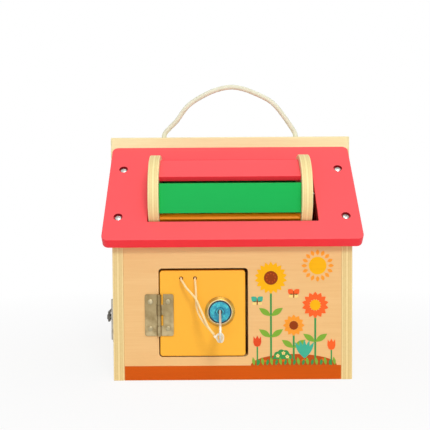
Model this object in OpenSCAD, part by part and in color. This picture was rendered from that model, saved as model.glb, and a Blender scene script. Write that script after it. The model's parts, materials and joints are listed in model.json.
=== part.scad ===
// Wooden activity house: plywood walls, a red roof with a turning drum,
// a lockable front door, a side door with a turn button, and a rope to carry it by.
// Millimetres. The origin is on the floor, at the middle of the body. The front faces -Y.

/* [Body] */
// Width over the two gables
body_w = 200; // [190:1:212]
// Depth over the front and back panels
body_d = 150; // [140:1:170]
// Height at which the underside of the roof meets the wall's outer face
wall_h = 118.6; // [114:0.2:130]
// Thickness of the wall and base plywood
wall_t = 9; // [8:0.5:10]

/* [Roof] */
// How far the roof stands out beyond each gable
verge_out = 7.5; // [6:0.5:15]
// Thickness of the roof panels
roof_t = 10; // [8:0.5:10.5]
// Slope of the roof
roof_pitch = 44; // [42:1:47]
// How far the eave stands out from the wall
eave_out = 13.5; // [11:0.5:20]
// Corner radius of the roof panels
roof_r = 5.5; // [3:0.5:8]
// Thickness of the ridge board
ridge_t = 15; // [12:1:18]
// Length of the ridge board
ridge_len = 219; // [215:1:235]
// How far the ridge board stands above the roof panels
ridge_proud = 9.5; // [7:0.5:14]

/* [Drum] */
// Outside radius of the drum's discs
drum_r = 34.5; // [33:0.5:35]
// Length of the drum over its discs
drum_len = 136.8; // [126:0.2:138]
// How far the drum sits to the left on its axle
drum_shift = 1.5; // [0:0.1:1.6]
// Thickness of each disc
disc_t = 9; // [7:0.5:11]
// Gap between the drum and the window at each side, with both in the middle
drum_side = 3; // [2.6:0.05:5]
// How far the window sits to the right
window_shift = 0.65; // [0:0.05:0.8]
// Gap between the drum and the window above and below it
drum_gap = 1.25; // [1:0.05:1.8]
// How far the drum is turned forward at rest
drum_lean = 4.8; // [0:0.2:10]
// Width of each slat
slat_w = 25; // [22:0.5:26]
// Thickness of each slat
slat_t = 4.8; // [3.6:0.2:6]
// Distance from the axle to the outer face of a slat
slat_out = 28; // [27:0.2:30]
// Diameter of the axle rod
rod_d = 4; // [3:0.5:5]
// Length of the plugs over the axle rod's ends
plug_len = 10.75; // [6:0.25:14]
// Diameter of the brads that hold the slats
brad_d = 1.6; // [1.2:0.2:2]
// Depth of the brads in the slats
brad_grip = 7; // [5:0.5:10]

/* [Front door] */
// Width of the front door
door_w = 71.5; // [68:0.5:74]
// Height of the front door
door_h = 72; // [66:0.1:76]
// Height of the door's lower edge above the floor
door_z = 20.5; // [18:0.5:24]
// Distance of the front hinge axis from the left side of the house
door_axis = 38.75; // [36:0.25:42]
// Gap on each side of a hinge axis
gap_hinge = 0.45; // [0.4:0.05:0.8]
// Gap at a door's free edge
gap_free = 2.2; // [1.8:0.1:3]
// Gap above a door
gap_top = 1.8; // [0.6:0.1:2.4]
// Gap under a door
gap_under = 0.8; // [0.6:0.1:2]
// Corner radius of the doors
door_r = 2.5; // [1:0.5:5]

/* [Side door] */
// Width of the side door
side_w = 42; // [38:1:60]
// Height of the side door
side_h = 66; // [56:1:74]
// Height of the side door's lower edge above the floor
side_z = 16; // [14:0.5:22]
// Distance of the side hinge axis from the front of the house
side_axis = 17; // [15:0.5:27]
// Distance of the turn button's post behind the side door
button_off = 6.5; // [6:0.5:10]
// Height of the turn button's post above the floor
button_z = 42; // [36:1:60]
// Height of the turn button's grip above the wall
button_rise = 11.6; // [10:0.2:15]
// Length of the button's grip to each side of the post
button_grip = 4; // [3.4:0.2:6]
// Reach of the button's sloping arm
button_arm = 11; // [9:0.5:14]
// Width of the turn button
button_w = 6; // [5:0.5:7]
// Thickness of the turn button's strip
button_t = 1.8; // [1.2:0.2:2.4]
// Diameter of the turn button's post
post_d = 3; // [2.5:0.5:3.5]
// Depth of the post in the wall
post_grip = 7; // [5:0.5:7.5]
// Diameter of the post's collar under the button
collar_d = 5; // [4.5:0.5:6]
// Diameter of the post's head over the button
post_head_d = 4.8; // [4.4:0.2:6]
// Thickness of the post's head
post_head_t = 0.8; // [0.6:0.1:1.5]

/* [Hinges] */
// Height of a hinge
hinge_h = 35.2; // [32:0.4:40]
// Width of a hinge when it lies flat
hinge_w = 24; // [21:0.5:26]
// Corner radius of a hinge leaf
leaf_r = 1.8; // [0.5:0.1:2.5]
// Thickness of a hinge leaf
leaf_t = 1; // [0.8:0.1:1.2]
// Diameter of the knuckle
knuckle_d = 3.6; // [3.4:0.1:4.4]
// Diameter of the hinge pin
pin_d = 2; // [1.6:0.2:2.4]
// Distance between the screws of one leaf
hinge_screw_gap = 22.6; // [18:0.2:25]
// Distance of the screws from the hinge axis
hinge_screw_x = 7.4; // [6.4:0.2:8.4]
// Gap between neighbouring knuckles
knuckle_gap = 0.2; // [0.15:0.05:0.4]
// Gap between the wall leaf's knuckles and the door leaf
door_leaf_gap = 1.5; // [0.4:0.1:2]
// Gap between a knuckle and the wood behind it
knuckle_lift = 0.25; // [0.2:0.05:0.4]
// Height of the middle of the front hinge
front_hinge_z = 55.4; // [50:0.2:62]
// Height of the middle of the side hinge
side_hinge_z = 48.8; // [44:0.2:54]

/* [Lock] */
// Distance of the lock from the door's free edge
lock_in = 21.3; // [18:0.1:26]
// Height of the lock above the floor
lock_z = 58; // [52:0.5:64]
// Diameter of the lock's bezel
bezel_d = 25.2; // [23:0.2:27]
// Diameter of the bezel's front, where its slope ends
bezel_top_d = 21.2; // [20.8:0.2:22]
// Height of the bezel's straight rim on the door
bezel_rim = 0.6; // [0.4:0.1:1]
// Thickness of the bezel
bezel_t = 2.4; // [1.8:0.2:3]
// Diameter of the lock's coloured face ring
face_d = 17.8; // [16.6:0.2:18.2]
// Width of the groove around the face ring
face_gap = 0.7; // [0.4:0.1:0.9]
// Thickness of the face ring
face_t = 1; // [0.6:0.1:1.1]
// Diameter of the lock's body
barrel_d = 16; // [15:0.5:17]
// Length of the lock's body behind the door's face
barrel_len = 13; // [12.5:0.5:18]
// Diameter of the plug
plug_d = 10; // [9.5:0.1:11]
// Diameter of the plug's front boss
boss_d = 7; // [6.6:0.1:7.6]
// How far the boss stands in front of the bezel
boss_out = 0.6; // [0.4:0.1:1]
// Diameter of the keyhole's sunk mouth in the boss
keyhole_d = 4.4; // [4:0.2:5.4]
// Depth of the keyhole's sunk mouth
keyhole_deep = 0.8; // [0.4:0.1:1.2]
// Thickness of the housing's lip in front of the plug
lip_t = 1.6; // [1.4:0.1:1.9]
// Length of the cam from the lock's axis to its tip
cam_len = 29; // [27:0.5:31]
// Width of the cam
cam_w = 8; // [7:0.5:10]
// Thickness of the cam
cam_t = 2; // [1.5:0.5:3]
// Diameter of the cam's eye
cam_eye_d = 11; // [9.5:0.5:13]
// Diameter of the stub that carries the cam
stub_d = 5; // [4:0.5:6]
// Across flats of the nut on the cam
cam_nut_d = 9; // [8:0.5:11]
// Thickness of the nut on the cam
cam_nut_t = 3; // [2.5:0.5:4]
// Across flats of the lock's ring nut
ring_nut_d = 22; // [20:0.5:24]
// Thickness of the lock's ring nut
ring_nut_t = 3; // [2.5:0.5:4]

/* [Key] */
// Thickness of the key
key_t = 1.8; // [1.4:0.1:2]
// Height of the key's blade
blade_h = 3.4; // [2.8:0.2:3.8]
// Depth of the blade in the lock
blade_in = 6; // [5:0.5:7]
// Length of the blade outside the lock
blade_out = 15; // [13:0.5:17]
// Length of the key's bow
bow_len = 22; // [20:0.5:26]
// Height of the key's bow
bow_h = 15; // [14:0.5:18]
// Length of the slot in the bow
bow_slot_len = 13; // [12:0.5:14]
// Height of the slot in the bow
bow_slot_h = 6.5; // [6:0.5:7]
// How far the loose key hangs down
key_droop = 24; // [20:1:26]
// Width of the notches in the key's blade
notch_w = 1.6; // [1.2:0.1:2]

/* [Cords] */
// Diameter of the rope handle
rope_d = 4.4; // [4:0.2:4.6]
// Distance between the rope holes
rope_span = 122; // [121:0.5:123]
// Diameter of the rope holes
rope_hole_d = 5.2; // [5:0.1:6]
// Diameter of the rope's knots
knot_d = 11; // [9:0.5:12]
// Diameter of the key string
string_d = 1.8; // [1.6:0.1:2.4]
// Diameter of the string holes in the door
string_hole_d = 3.2; // [3:0.1:4]
// Distance between the string holes
string_hole_gap = 11.6; // [11.4:0.1:11.8]
// Distance of the first string hole from the door's hinge edge
string_hole_in = 18; // [17.9:0.05:18.1]
// Distance of the string holes from the door's upper edge
string_hole_down = 6.5; // [6.4:0.05:6.6]

/* [Fasteners] */
// Diameter of the roof screws' shanks
screw_d = 3; // [2.5:0.5:3.5]
// Length of the roof screws in the gables
screw_grip = 14; // [10:1:18]
// Diameter of the roof screws' heads
screw_head_d = 5.8; // [5.2:0.2:6.4]
// Thickness of the roof screws' heads
screw_head_t = 1.8; // [1.4:0.2:2.2]
// Diameter of the roof screws' recesses
recess_d = 7.6; // [7:0.2:8.4]
// Depth of the roof screws' recesses
recess_depth = 2.6; // [2.2:0.2:3.2]
// Distance of the lower roof screws from the eave
screw_low = 26; // [24:0.5:32]
// Distance of the upper roof screws from the eave
screw_high = 84; // [78:0.5:90]
// Diameter of the hinge screws' shanks
small_screw_d = 2; // [1.6:0.2:2.4]
// Length of the hinge screws in the wood
small_screw_grip = 6.5; // [5:0.5:7]
// Diameter of the hinge screws' heads
small_head_d = 4.4; // [4:0.2:4.8]
// Thickness of the hinge screws' heads
small_head_t = 1; // [0.8:0.1:1.2]
// Diameter of the dowels
dowel_d = 4; // [3:0.5:5]
// Depth of the dowels in the gables
dowel_seat = 5.5; // [4:0.5:6]
// Depth of the dowels in the panels
dowel_grip = 14; // [10:1:18]
// Height of the lower wall dowels above the floor
dowel_low = 30; // [20:1:45]
// Height of the upper wall dowels above the floor
dowel_high = 100; // [85:1:106]
// Distance of the base's dowels from the middle of the house
base_dowel_y = 40; // [25:1:55]

/* [Clearances] */
// Radial clearance of what turns on a pin, rod or post
run_clear = 0.05; // [0.03:0.01:0.1]
// Clearance between parts that pass each other
pass_clear = 0.3; // [0.25:0.05:0.4]

/* [Hidden] */
$fn = 48;
SMALL = 0.5;
FAR = 400;

// Body
front_y = -body_d / 2;
side_x = -body_w / 2;
inner_w = body_w - 2 * wall_t;
inner_d = body_d - 2 * wall_t;
gable_mid = body_w / 2 - wall_t / 2;
panel_mid = body_d / 2 - wall_t / 2;

// Roof, with the eave's outer edge as its start
roof_w = body_w + 2 * verge_out;
roof_drop = roof_t / cos(roof_pitch);
eave_y = front_y - eave_out;
eave_z = wall_h + roof_drop - eave_out * tan(roof_pitch);
ridge_y = -ridge_t / 2;
slope_len = (ridge_y - eave_y) / cos(roof_pitch);
apex_z = wall_h + (ridge_y - front_y) * tan(roof_pitch);
ridge_top = apex_z + roof_drop + ridge_proud;
ridge_dowel_len = 2 * dowel_seat;

// Drum, on the middle of the roof panel's thickness
window_w = drum_len + 2 * drum_side;
window_h = 2 * (drum_r + drum_gap);
axle_u = slope_len / 2;
axle_y = eave_y + axle_u * cos(roof_pitch) + roof_t / 2 * sin(roof_pitch);
axle_z = eave_z + axle_u * sin(roof_pitch) - roof_t / 2 * cos(roof_pitch);
slat_len = drum_len - 2 * disc_t;
slat_mid = slat_out - slat_t / 2;
rod_len = roof_w - 2 * plug_len;
slats = 6;

// Driver slots, as shares of a screw head's diameter
slot_run = 0.6;
slot_wide = 0.14;
slot_deep = 0.12;

// Doors
door_axis_x = side_x + door_axis;
door_x = door_axis_x + gap_hinge;
side_axis_y = front_y + side_axis;
side_y = side_axis_y + gap_hinge;
button_y = side_y + side_w + button_off;

// Hinges, with the axis as their middle
knuckle_r = knuckle_d / 2;
hinge_off = knuckle_r + knuckle_lift;
knuckles = 4;
knuckle_h = hinge_h / knuckles;

// Lock, with the middle of the door's outer face as its start
lock_x = door_x + door_w - lock_in;
boss_front = -bezel_t - boss_out;
lip_back = lip_t - bezel_t;
cam_y = barrel_len + pass_clear;
cam_back = cam_y + cam_t;
keyway_deep = blade_in + SMALL;
keyway_out = blade_h;

// Key, with the middle of the boss as its start
bow_mid = -blade_out - bow_len / 2 + SMALL;
bow_slot_run = bow_slot_len - bow_slot_h;
notches = [[-4.2, 0.9], [-6.8, 0.6], [-9.4, 1.1]];

// Rope route, from knot to knot
rope_points = [
    [-61, 0, 180], [-61, 0, 188], [-61, 0, 198], [-61, 0, 207], [-60, 0, 211.5], [-56, 0, 216],
    [-49, 0, 223], [-43, 0, 231.5], [-37, 0, 238], [-27, 0, 244.5], [-14, 0, 250.5], [0, 0, 253.5],
    [12, 0, 252], [24, 0, 247.5], [36, 0, 241.5], [43, 0, 235.5], [49, 0, 228], [56, 0, 218],
    [60, 0, 211.5], [61, 0, 207], [61, 0, 198], [61, 0, 188], [61, 0, 180]
];

// String route, from the key's knot through both door holes and back
string_points = [
    [-15.7, -103.6, 44.4], [-18, -103, 47.5], [-20.2, -101.5, 50.3], [-22, -99.5, 53.6],
    [-24.4, -95.5, 58.8], [-27, -91.5, 64], [-30.2, -88, 70.6], [-34, -85.5, 75], [-38, -83, 79],
    [-40.3, -81.2, 82.4], [-42.1, -79.6, 84.8], [-42.8, -77, 86], [-42.8, -74, 86], [-42.8, -70, 86],
    [-42.8, -66, 86],
    [-42, -62.8, 86], [-39.9, -60.6, 86], [-37, -59.9, 86], [-34.1, -60.6, 86], [-32, -62.8, 86],
    [-31.2, -66, 86], [-31.2, -70, 86], [-31.2, -74, 86], [-31.2, -77.2, 85.4], [-31, -79.2, 83.2],
    [-30.6, -80, 79], [-30.3, -82, 72.5], [-30, -85, 65.5], [-28.6, -88.5, 60], [-25.8, -93.5, 55.4],
    [-22.4, -97.6, 51.6], [-18.6, -100.2, 47.6], [-15.7, -100.9, 44.4]
];

// Loop of the string through the key's bow, from the knot and back to it
loop_points = [
    [-13.6, -102.8, 43.6], [-11.9, -103.3, 44.8], [-10.6, -103.4, 45], [-9.3, -103.3, 44.8],
    [-8.5, -102.6, 43], [-8.4, -101.9, 41.5], [-8.6, -101.1, 39.7], [-9.4, -100.4, 38.1],
    [-10.7, -100.4, 38.2], [-12, -100.5, 38.3], [-12.9, -101.2, 40.1], [-13.9, -101.9, 41.8]
];
loop_knot = [-14.2, -102.3, 42.7];
loop_knot_d = 4.2;
loop_knot_sides = 12;

RED = [0.93, 0.24, 0.26];
NATURAL = [0.93, 0.83, 0.62];
YELLOW = [1, 0.72, 0.25];
GREEN = [0.12, 0.72, 0.35];
ORANGE = [0.95, 0.6, 0.1];
STEEL = [0.7, 0.66, 0.56];
CHROME = [0.85, 0.86, 0.88];
BLUE = [0.12, 0.58, 0.72];
CREAM = [0.95, 0.9, 0.78];
SLAT_COLOURS = [GREEN, RED, RED, GREEN, ORANGE, ORANGE];

// Shared shapes

// Rectangle with round corners, from its lower left corner
module round_rect(w, h, r) {
    translate([r, 0]) square([w - 2 * r, h]);
    translate([0, r]) square([w, h - 2 * r]);
    for (x = [r, w - r], y = [r, h - r]) translate([x, y]) circle(r);
}

// Cylinder along X, centred
module rod_x(d, len) rotate([0, 90, 0]) cylinder(d = d, h = len, center = true);

// Cylinder along Y from y0 to y1
module rod_y(d, y0, y1) translate([0, y0, 0]) rotate([-90, 0, 0]) cylinder(d = d, h = y1 - y0);

// Puts a drawing of a wall, seen from the front, into the wall's thickness
module upright(t) rotate([90, 0, 0]) translate([0, 0, -t]) linear_extrude(t) children();

// Puts a drawing of a gable, y and z, across the house
module gable_sheet(t) rotate([90, 0, 90]) linear_extrude(t) children();

// Both sides of the house
module both_sides() {
    children();
    mirror([1, 0, 0]) children();
}

module both_slopes() {
    children();
    mirror([0, 1, 0]) children();
}

// Front roof slope: Y runs up the slope from the eave and Z stands out of it
module on_slope() translate([0, eave_y, eave_z]) rotate([roof_pitch, 0, 0]) children();

module at_roof_screws() {
    both_slopes() both_sides() for (u = [screw_low, screw_high])
        on_slope() translate([gable_mid, u, 0]) children();
}

module roof_screw_shanks() {
    at_roof_screws() translate([0, 0, -roof_t - screw_grip])
        cylinder(d = screw_d, h = roof_t + screw_grip - recess_depth + SMALL / 2);
}

module at_axle() translate([0, axle_y, axle_z]) children();

module at_drum() translate([-drum_shift, axle_y, axle_z]) children();

// Walls

// Dowels that join the gables to the panels, the base and the ridge board
module dowel_set() {
    both_sides() translate([body_w / 2 - wall_t + (dowel_seat - dowel_grip) / 2, 0, 0]) {
        for (y = [-panel_mid, panel_mid], z = [dowel_low, dowel_high])
            translate([0, y, z]) rod_x(dowel_d, dowel_seat + dowel_grip);
        for (y = [-base_dowel_y, base_dowel_y])
            translate([0, y, wall_t / 2]) rod_x(dowel_d, dowel_seat + dowel_grip);
    }
    both_sides() translate([gable_mid, 0, apex_z])
        cylinder(d = dowel_d, h = ridge_dowel_len, center = true);
}

module panel_dowels() color(NATURAL) dowel_set();

module base_panel() color(NATURAL) difference() {
    translate([-inner_w / 2, -inner_d / 2, 0]) cube([inner_w, inner_d, wall_t]);
    dowel_set();
}

module front_panel() color(NATURAL) difference() {
    translate([0, front_y, 0]) upright(wall_t) difference() {
        translate([-inner_w / 2, 0]) square([inner_w, wall_h]);
        translate([door_axis_x - gap_hinge, door_z - gap_under])
            round_rect(door_w + 2 * gap_hinge + gap_free, door_h + gap_under + gap_top, door_r + gap_hinge);
    }
    dowel_set();
    front_hinge_frame() leaf_screw_shanks(-1);
}

module back_panel() color(NATURAL) difference() {
    translate([0, body_d / 2 - wall_t, 0]) upright(wall_t)
        translate([-inner_w / 2, 0]) square([inner_w, wall_h]);
    dowel_set();
}

module gable_outline() polygon([
    [front_y, 0], [-front_y, 0], [-front_y, wall_h],
    [-ridge_y, apex_z], [ridge_y, apex_z], [front_y, wall_h]
]);

module left_gable() color(NATURAL) difference() {
    translate([side_x, 0, 0]) gable_sheet(wall_t) difference() {
        gable_outline();
        translate([side_axis_y - gap_hinge, side_z - gap_under])
            round_rect(side_w + 2 * gap_hinge + gap_free, side_h + gap_under + gap_top, door_r + gap_hinge);
    }
    dowel_set();
    roof_screw_shanks();
    side_hinge_frame() leaf_screw_shanks(-1);
    button_frame() post_shank();
}

module right_gable() color(NATURAL) difference() {
    translate([-side_x - wall_t, 0, 0]) gable_sheet(wall_t) gable_outline();
    dowel_set();
    roof_screw_shanks();
}

// Roof

module roof_blank() difference() {
    on_slope() translate([-roof_w / 2, 0, -roof_t]) linear_extrude(roof_t)
        round_rect(roof_w, slope_len, roof_r);
    translate([-FAR / 2, ridge_y, 0]) cube([FAR, ridge_t, FAR]);
    roof_screw_shanks();
    at_roof_screws() translate([0, 0, -recess_depth]) cylinder(d = recess_d, h = roof_t);
}

module roof_front() color(RED) difference() {
    roof_blank();
    on_slope() translate([window_shift - window_w / 2, axle_u - window_h / 2, -2 * roof_t])
        cube([window_w, window_h, 3 * roof_t]);
    at_axle() rod_x(rod_d, FAR);
}

module roof_back() color(RED) mirror([0, 1, 0]) roof_blank();

module ridge_board() color(NATURAL) difference() {
    translate([-ridge_len / 2, ridge_y, apex_z]) cube([ridge_len, ridge_t, ridge_top - apex_z]);
    both_sides() translate([rope_span / 2, 0, apex_z - SMALL])
        cylinder(d = rope_hole_d, h = ridge_top - apex_z + 2 * SMALL);
    dowel_set();
}

module roof_screws() color(STEEL) {
    at_roof_screws() difference() {
        union() {
            translate([0, 0, -roof_t - screw_grip])
                cylinder(d = screw_d, h = roof_t + screw_grip - recess_depth);
            translate([0, 0, -recess_depth]) cylinder(d = screw_head_d, h = screw_head_t);
        }
        translate([0, 0, screw_head_t - recess_depth]) cross_slot(screw_head_d);
    }
}

// Cross-shaped driver slot, sunk into the face of a screw head
module cross_slot(head_d) for (a = [0, 90]) rotate([0, 0, a])
    cube([head_d * slot_run, head_d * slot_wide, head_d * slot_deep * 2], center = true);

// Drum

module axle_rod() color(STEEL) at_axle() rod_x(rod_d, rod_len);

module axle_plugs() color(RED) both_sides()
    at_axle() translate([(roof_w - plug_len) / 2, 0, 0]) rod_x(rod_d, plug_len);

module at_slat(k) at_drum() rotate([drum_lean - k * 360 / slats, 0, 0]) translate([0, -slat_mid, 0])
    children();

module brad_set() for (k = [0 : slats - 1]) at_slat(k) both_sides() for (z = [-slat_w / 4, slat_w / 4])
    translate([drum_len / 2 - (disc_t + brad_grip) / 2, 0, z]) rod_x(brad_d, disc_t + brad_grip);

module drum_disc(side) color(NATURAL) difference() {
    at_drum() translate([side * (drum_len - disc_t) / 2, 0, 0]) rod_x(2 * drum_r, disc_t);
    at_axle() rod_x(rod_d + 2 * run_clear, FAR);
    brad_set();
}

module drum_disc_left() drum_disc(-1);

module drum_disc_right() drum_disc(1);

module drum_slat(k) color(SLAT_COLOURS[k % len(SLAT_COLOURS)]) difference() {
    at_slat(k) cube([slat_len, slat_t, slat_w], center = true);
    brad_set();
}

module drum_brads() color(STEEL) brad_set();

// Hinges: the axis is Z, the wall lies towards -X, the door towards +X, and -Y is outside

module front_hinge_frame() translate([door_axis_x, front_y - hinge_off, front_hinge_z]) children();

module side_hinge_frame() translate([side_x - hinge_off, side_axis_y, side_hinge_z])
    rotate([0, 0, 90]) mirror([0, 1, 0]) children();

module leaf_plate_z(k) translate([0, 0, hinge_h / 2 - (k + 1) * knuckle_h + knuckle_gap / 2]) children();

module at_leaf_screws(side) for (z = [-hinge_screw_gap / 2, hinge_screw_gap / 2])
    translate([side * hinge_screw_x, hinge_off, z]) children();

module leaf_screw_shanks(side) at_leaf_screws(side) rod_y(small_screw_d, -leaf_t, small_screw_grip);

// One leaf with every second knuckle, starting at knuckle first. Its plate starts inset from the axis.
module hinge_leaf(side, first, bore_d, inset) color(STEEL) difference() {
    union() {
        translate([0, hinge_off - leaf_t, 0]) upright(leaf_t) mirror([side > 0 ? 0 : 1, 0])
            translate([inset, -hinge_h / 2]) {
                round_rect(hinge_w / 2 - inset, hinge_h, leaf_r);
                square([leaf_r, hinge_h]);
            }
        for (k = [first : 2 : knuckles - 1]) leaf_plate_z(k) {
            cylinder(d = knuckle_d, h = knuckle_h - knuckle_gap);
            translate([side > 0 ? 0 : -inset - SMALL, hinge_off - leaf_t, 0])
                cube([inset + SMALL, leaf_t, knuckle_h - knuckle_gap]);
        }
    }
    cylinder(d = bore_d, h = 2 * hinge_h, center = true);
    leaf_screw_shanks(side);
}

module wall_leaf() hinge_leaf(-1, 0, pin_d, knuckle_r + pass_clear);

module door_leaf() hinge_leaf(1, 1, pin_d + 2 * run_clear, knuckle_r + door_leaf_gap);

module hinge_pin() color(STEEL) cylinder(d = pin_d, h = hinge_h, center = true);

module leaf_screws(side) color(CHROME) at_leaf_screws(side) difference() {
    union() {
        rod_y(small_screw_d, -leaf_t, small_screw_grip);
        rod_y(small_head_d, -leaf_t - small_head_t, -leaf_t);
    }
    translate([0, -leaf_t - small_head_t, 0]) rotate([90, 0, 0]) cross_slot(small_head_d);
}

module front_hinge_wall_leaf() front_hinge_frame() wall_leaf();

module front_hinge_door_leaf() front_hinge_frame() door_leaf();

module front_hinge_pin() front_hinge_frame() hinge_pin();

module front_hinge_wall_screws() front_hinge_frame() leaf_screws(-1);

module front_hinge_door_screws() front_hinge_frame() leaf_screws(1);

module side_hinge_wall_leaf() side_hinge_frame() wall_leaf();

module side_hinge_door_leaf() side_hinge_frame() door_leaf();

module side_hinge_pin() side_hinge_frame() hinge_pin();

module side_hinge_wall_screws() side_hinge_frame() leaf_screws(-1);

module side_hinge_door_screws() side_hinge_frame() leaf_screws(1);

// Doors

module front_door_panel() color(YELLOW) difference() {
    translate([door_x, front_y, door_z]) upright(wall_t) difference() {
        round_rect(door_w, door_h, door_r);
        translate([door_w - lock_in, lock_z - door_z]) circle(d = barrel_d);
        for (x = [0, string_hole_gap]) translate([string_hole_in + x, door_h - string_hole_down])
            circle(d = string_hole_d);
    }
    front_hinge_frame() leaf_screw_shanks(1);
}

module side_door_panel() color(GREEN) difference() {
    translate([side_x, side_y, side_z]) gable_sheet(wall_t) round_rect(side_w, side_h, door_r);
    side_hinge_frame() leaf_screw_shanks(1);
}

// Turn button: Z stands out of the left wall and the arm points along Y, which is up

module button_frame() translate([side_x, button_y, button_z]) rotate([90, 0, -90]) children();

module post_shank() translate([0, 0, -post_grip]) cylinder(d = post_d, h = post_grip + SMALL);

module turn_button_post() color(STEEL) button_frame() {
    translate([0, 0, -post_grip])
        cylinder(d = post_d, h = post_grip + button_rise + button_t + 2 * run_clear + SMALL / 2);
    cylinder(d = collar_d, h = button_rise);
    translate([0, 0, button_rise + button_t + 2 * run_clear]) cylinder(d = post_head_d, h = post_head_t);
}

// Side profile of the bent strip, reach along the arm and height above the wall
function arm_drop() = button_rise - pass_clear;

module button_profile() polygon([
    [-button_grip, button_rise], [button_grip, button_rise],
    [button_grip + button_arm, button_rise - arm_drop()],
    [button_grip + button_arm + button_t, button_rise - arm_drop() + SMALL],
    [button_grip + button_t * tan(atan2(arm_drop(), button_arm) / 2) + SMALL, button_rise + button_t],
    [-button_grip, button_rise + button_t]
]);

module turn_button() color(STEEL) button_frame() translate([0, 0, run_clear]) difference() {
    translate([-button_w / 2, 0, 0]) gable_sheet(button_w) button_profile();
    cylinder(d = post_d + 2 * run_clear, h = 2 * button_rise);
}

// Lock: Y runs into the house from the door's outer face

module at_lock() translate([lock_x, front_y, lock_z]) children();

module lock_housing() color(CHROME) at_lock() difference() {
    union() {
        rod_y(bezel_d, -bezel_rim, 0);
        translate([0, -bezel_rim, 0]) rotate([90, 0, 0])
            cylinder(d1 = bezel_d, d2 = bezel_top_d, h = bezel_t - bezel_rim);
        rod_y(barrel_d, -SMALL, barrel_len);
    }
    rod_y(boss_d + 2 * run_clear, -bezel_t - SMALL, barrel_len + SMALL);
    rod_y(plug_d + 2 * run_clear, lip_back, barrel_len + SMALL);
    rod_y(face_d + 2 * face_gap, -bezel_t - SMALL, -bezel_t + face_t);
}

module lock_face_ring() color(BLUE) at_lock() difference() {
    rod_y(face_d, -bezel_t, -bezel_t + face_t);
    rod_y(boss_d + 2 * pass_clear, -bezel_t - SMALL, 0);
}

module lock_ring_nut() color(STEEL) at_lock() translate([0, wall_t, 0]) rotate([-90, 0, 0]) difference() {
    cylinder(d = ring_nut_d / cos(30), h = ring_nut_t, $fn = 6);
    translate([0, 0, -SMALL]) cylinder(d = barrel_d, h = ring_nut_t + 2 * SMALL);
}

module lock_plug() color(BLUE) difference() {
    at_lock() {
        rod_y(boss_d, boss_front, lip_back + SMALL);
        rod_y(plug_d, lip_back + run_clear, cam_y);
        rod_y(stub_d, cam_y - SMALL, cam_back + cam_nut_t);
    }
    at_lock() rod_y(keyhole_d, boss_front - SMALL, boss_front + keyhole_deep);
    key_frame() translate([-key_t / 2 - pass_clear / 2, -keyway_out, -blade_h / 2 - pass_clear])
        cube([key_t + pass_clear, keyway_out + keyway_deep, blade_h + 2 * pass_clear]);
}

module lock_cam() color(STEEL) at_lock() difference() {
    translate([0, cam_y, 0]) upright(cam_t) {
        circle(d = cam_eye_d);
        translate([-cam_w / 2, cam_w / 2 - cam_len]) square([cam_w, cam_len - cam_w / 2]);
        translate([0, cam_w / 2 - cam_len]) circle(d = cam_w);
    }
    rod_y(stub_d, 0, FAR);
}

module lock_cam_nut() color(STEEL) at_lock() translate([0, cam_back, 0]) rotate([-90, 0, 0]) difference() {
    cylinder(d = cam_nut_d / cos(30), h = cam_nut_t, $fn = 6);
    translate([0, 0, -SMALL]) cylinder(d = stub_d, h = cam_nut_t + 2 * SMALL);
}

// Key: Y runs into the lock and the bow is outside, hanging down by the droop

module key_frame() translate([lock_x, front_y + boss_front, lock_z]) rotate([key_droop, 0, 0]) children();

module key() color(CHROME) key_frame() translate([-key_t / 2, 0, 0]) gable_sheet(key_t) difference() {
    union() {
        translate([-blade_out, -blade_h / 2]) square([blade_out + blade_in, blade_h]);
        translate([bow_mid - bow_len / 2, -bow_h / 2]) round_rect(bow_len, bow_h, bow_h / 2 - SMALL);
    }
    translate([bow_mid - bow_slot_run / 2, -bow_slot_h / 2]) square([bow_slot_run, bow_slot_h]);
    for (y = [-bow_slot_run / 2, bow_slot_run / 2]) translate([bow_mid + y, 0]) circle(d = bow_slot_h);
    for (n = notches) translate([n[0], -blade_h / 2 - SMALL]) square([notch_w, n[1] + SMALL]);
}

// Cords

function along(a, b, c, d, t) = 0.5 * (2 * b + (c - a) * t + (2 * a - 5 * b + 4 * c - d) * t * t
    + (3 * b - a - 3 * c + d) * t * t * t);

function clamp_at(p, i) = p[max(0, min(len(p) - 1, i))];

// Smooth route through the points, with extra steps between each pair
function smooth(p, steps) = [
    for (i = [0 : len(p) - 2], s = [0 : steps - 1])
        along(clamp_at(p, i - 1), p[i], p[i + 1], clamp_at(p, i + 2), s / steps),
    p[len(p) - 1]
];

function unit(v) = v / norm(v);

function heading(p, i) = unit(clamp_at(p, i + 1) - clamp_at(p, i - 1));

// Side direction at each point, carried along so that the tube doesn't twist
function carry(p, i, side) = let (s = unit(side - (side * heading(p, i)) * heading(p, i)))
    i == len(p) - 1 ? [s] : concat([s], carry(p, i + 1, s));

module cord(points, d, sides, steps, start_side) {
    p = smooth(points, steps);
    s = carry(p, 0, start_side);
    rings = [
        for (i = [0 : len(p) - 1], k = [0 : sides - 1])
            p[i] + d / 2 * (cos(360 * k / sides) * s[i] + sin(360 * k / sides) * cross(heading(p, i), s[i]))
    ];
    last = (len(p) - 1) * sides;
    walls = [
        for (i = [0 : len(p) - 2], k = [0 : sides - 1], half = [0, 1])
            let (a = i * sides + k, b = i * sides + (k + 1) % sides)
                half == 0 ? [a, a + sides, b] : [b, a + sides, b + sides]
    ];
    ends = [
        [for (k = [0 : sides - 1]) k],
        [for (k = [sides - 1 : -1 : 0]) last + k]
    ];
    polyhedron(rings, concat(walls, ends), convexity = 10);
}

module rope_handle() color(CREAM) cord(rope_points, rope_d, 10, 1, [0, 1, 0]);

module rope_knots() color(CREAM) both_sides()
    translate([rope_span / 2, 0, apex_z - knot_d / 2 - pass_clear / 2]) sphere(d = knot_d);

module key_string() color(CREAM) cord(string_points, string_d, 8, 1, [1, 0, 0]);

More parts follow.
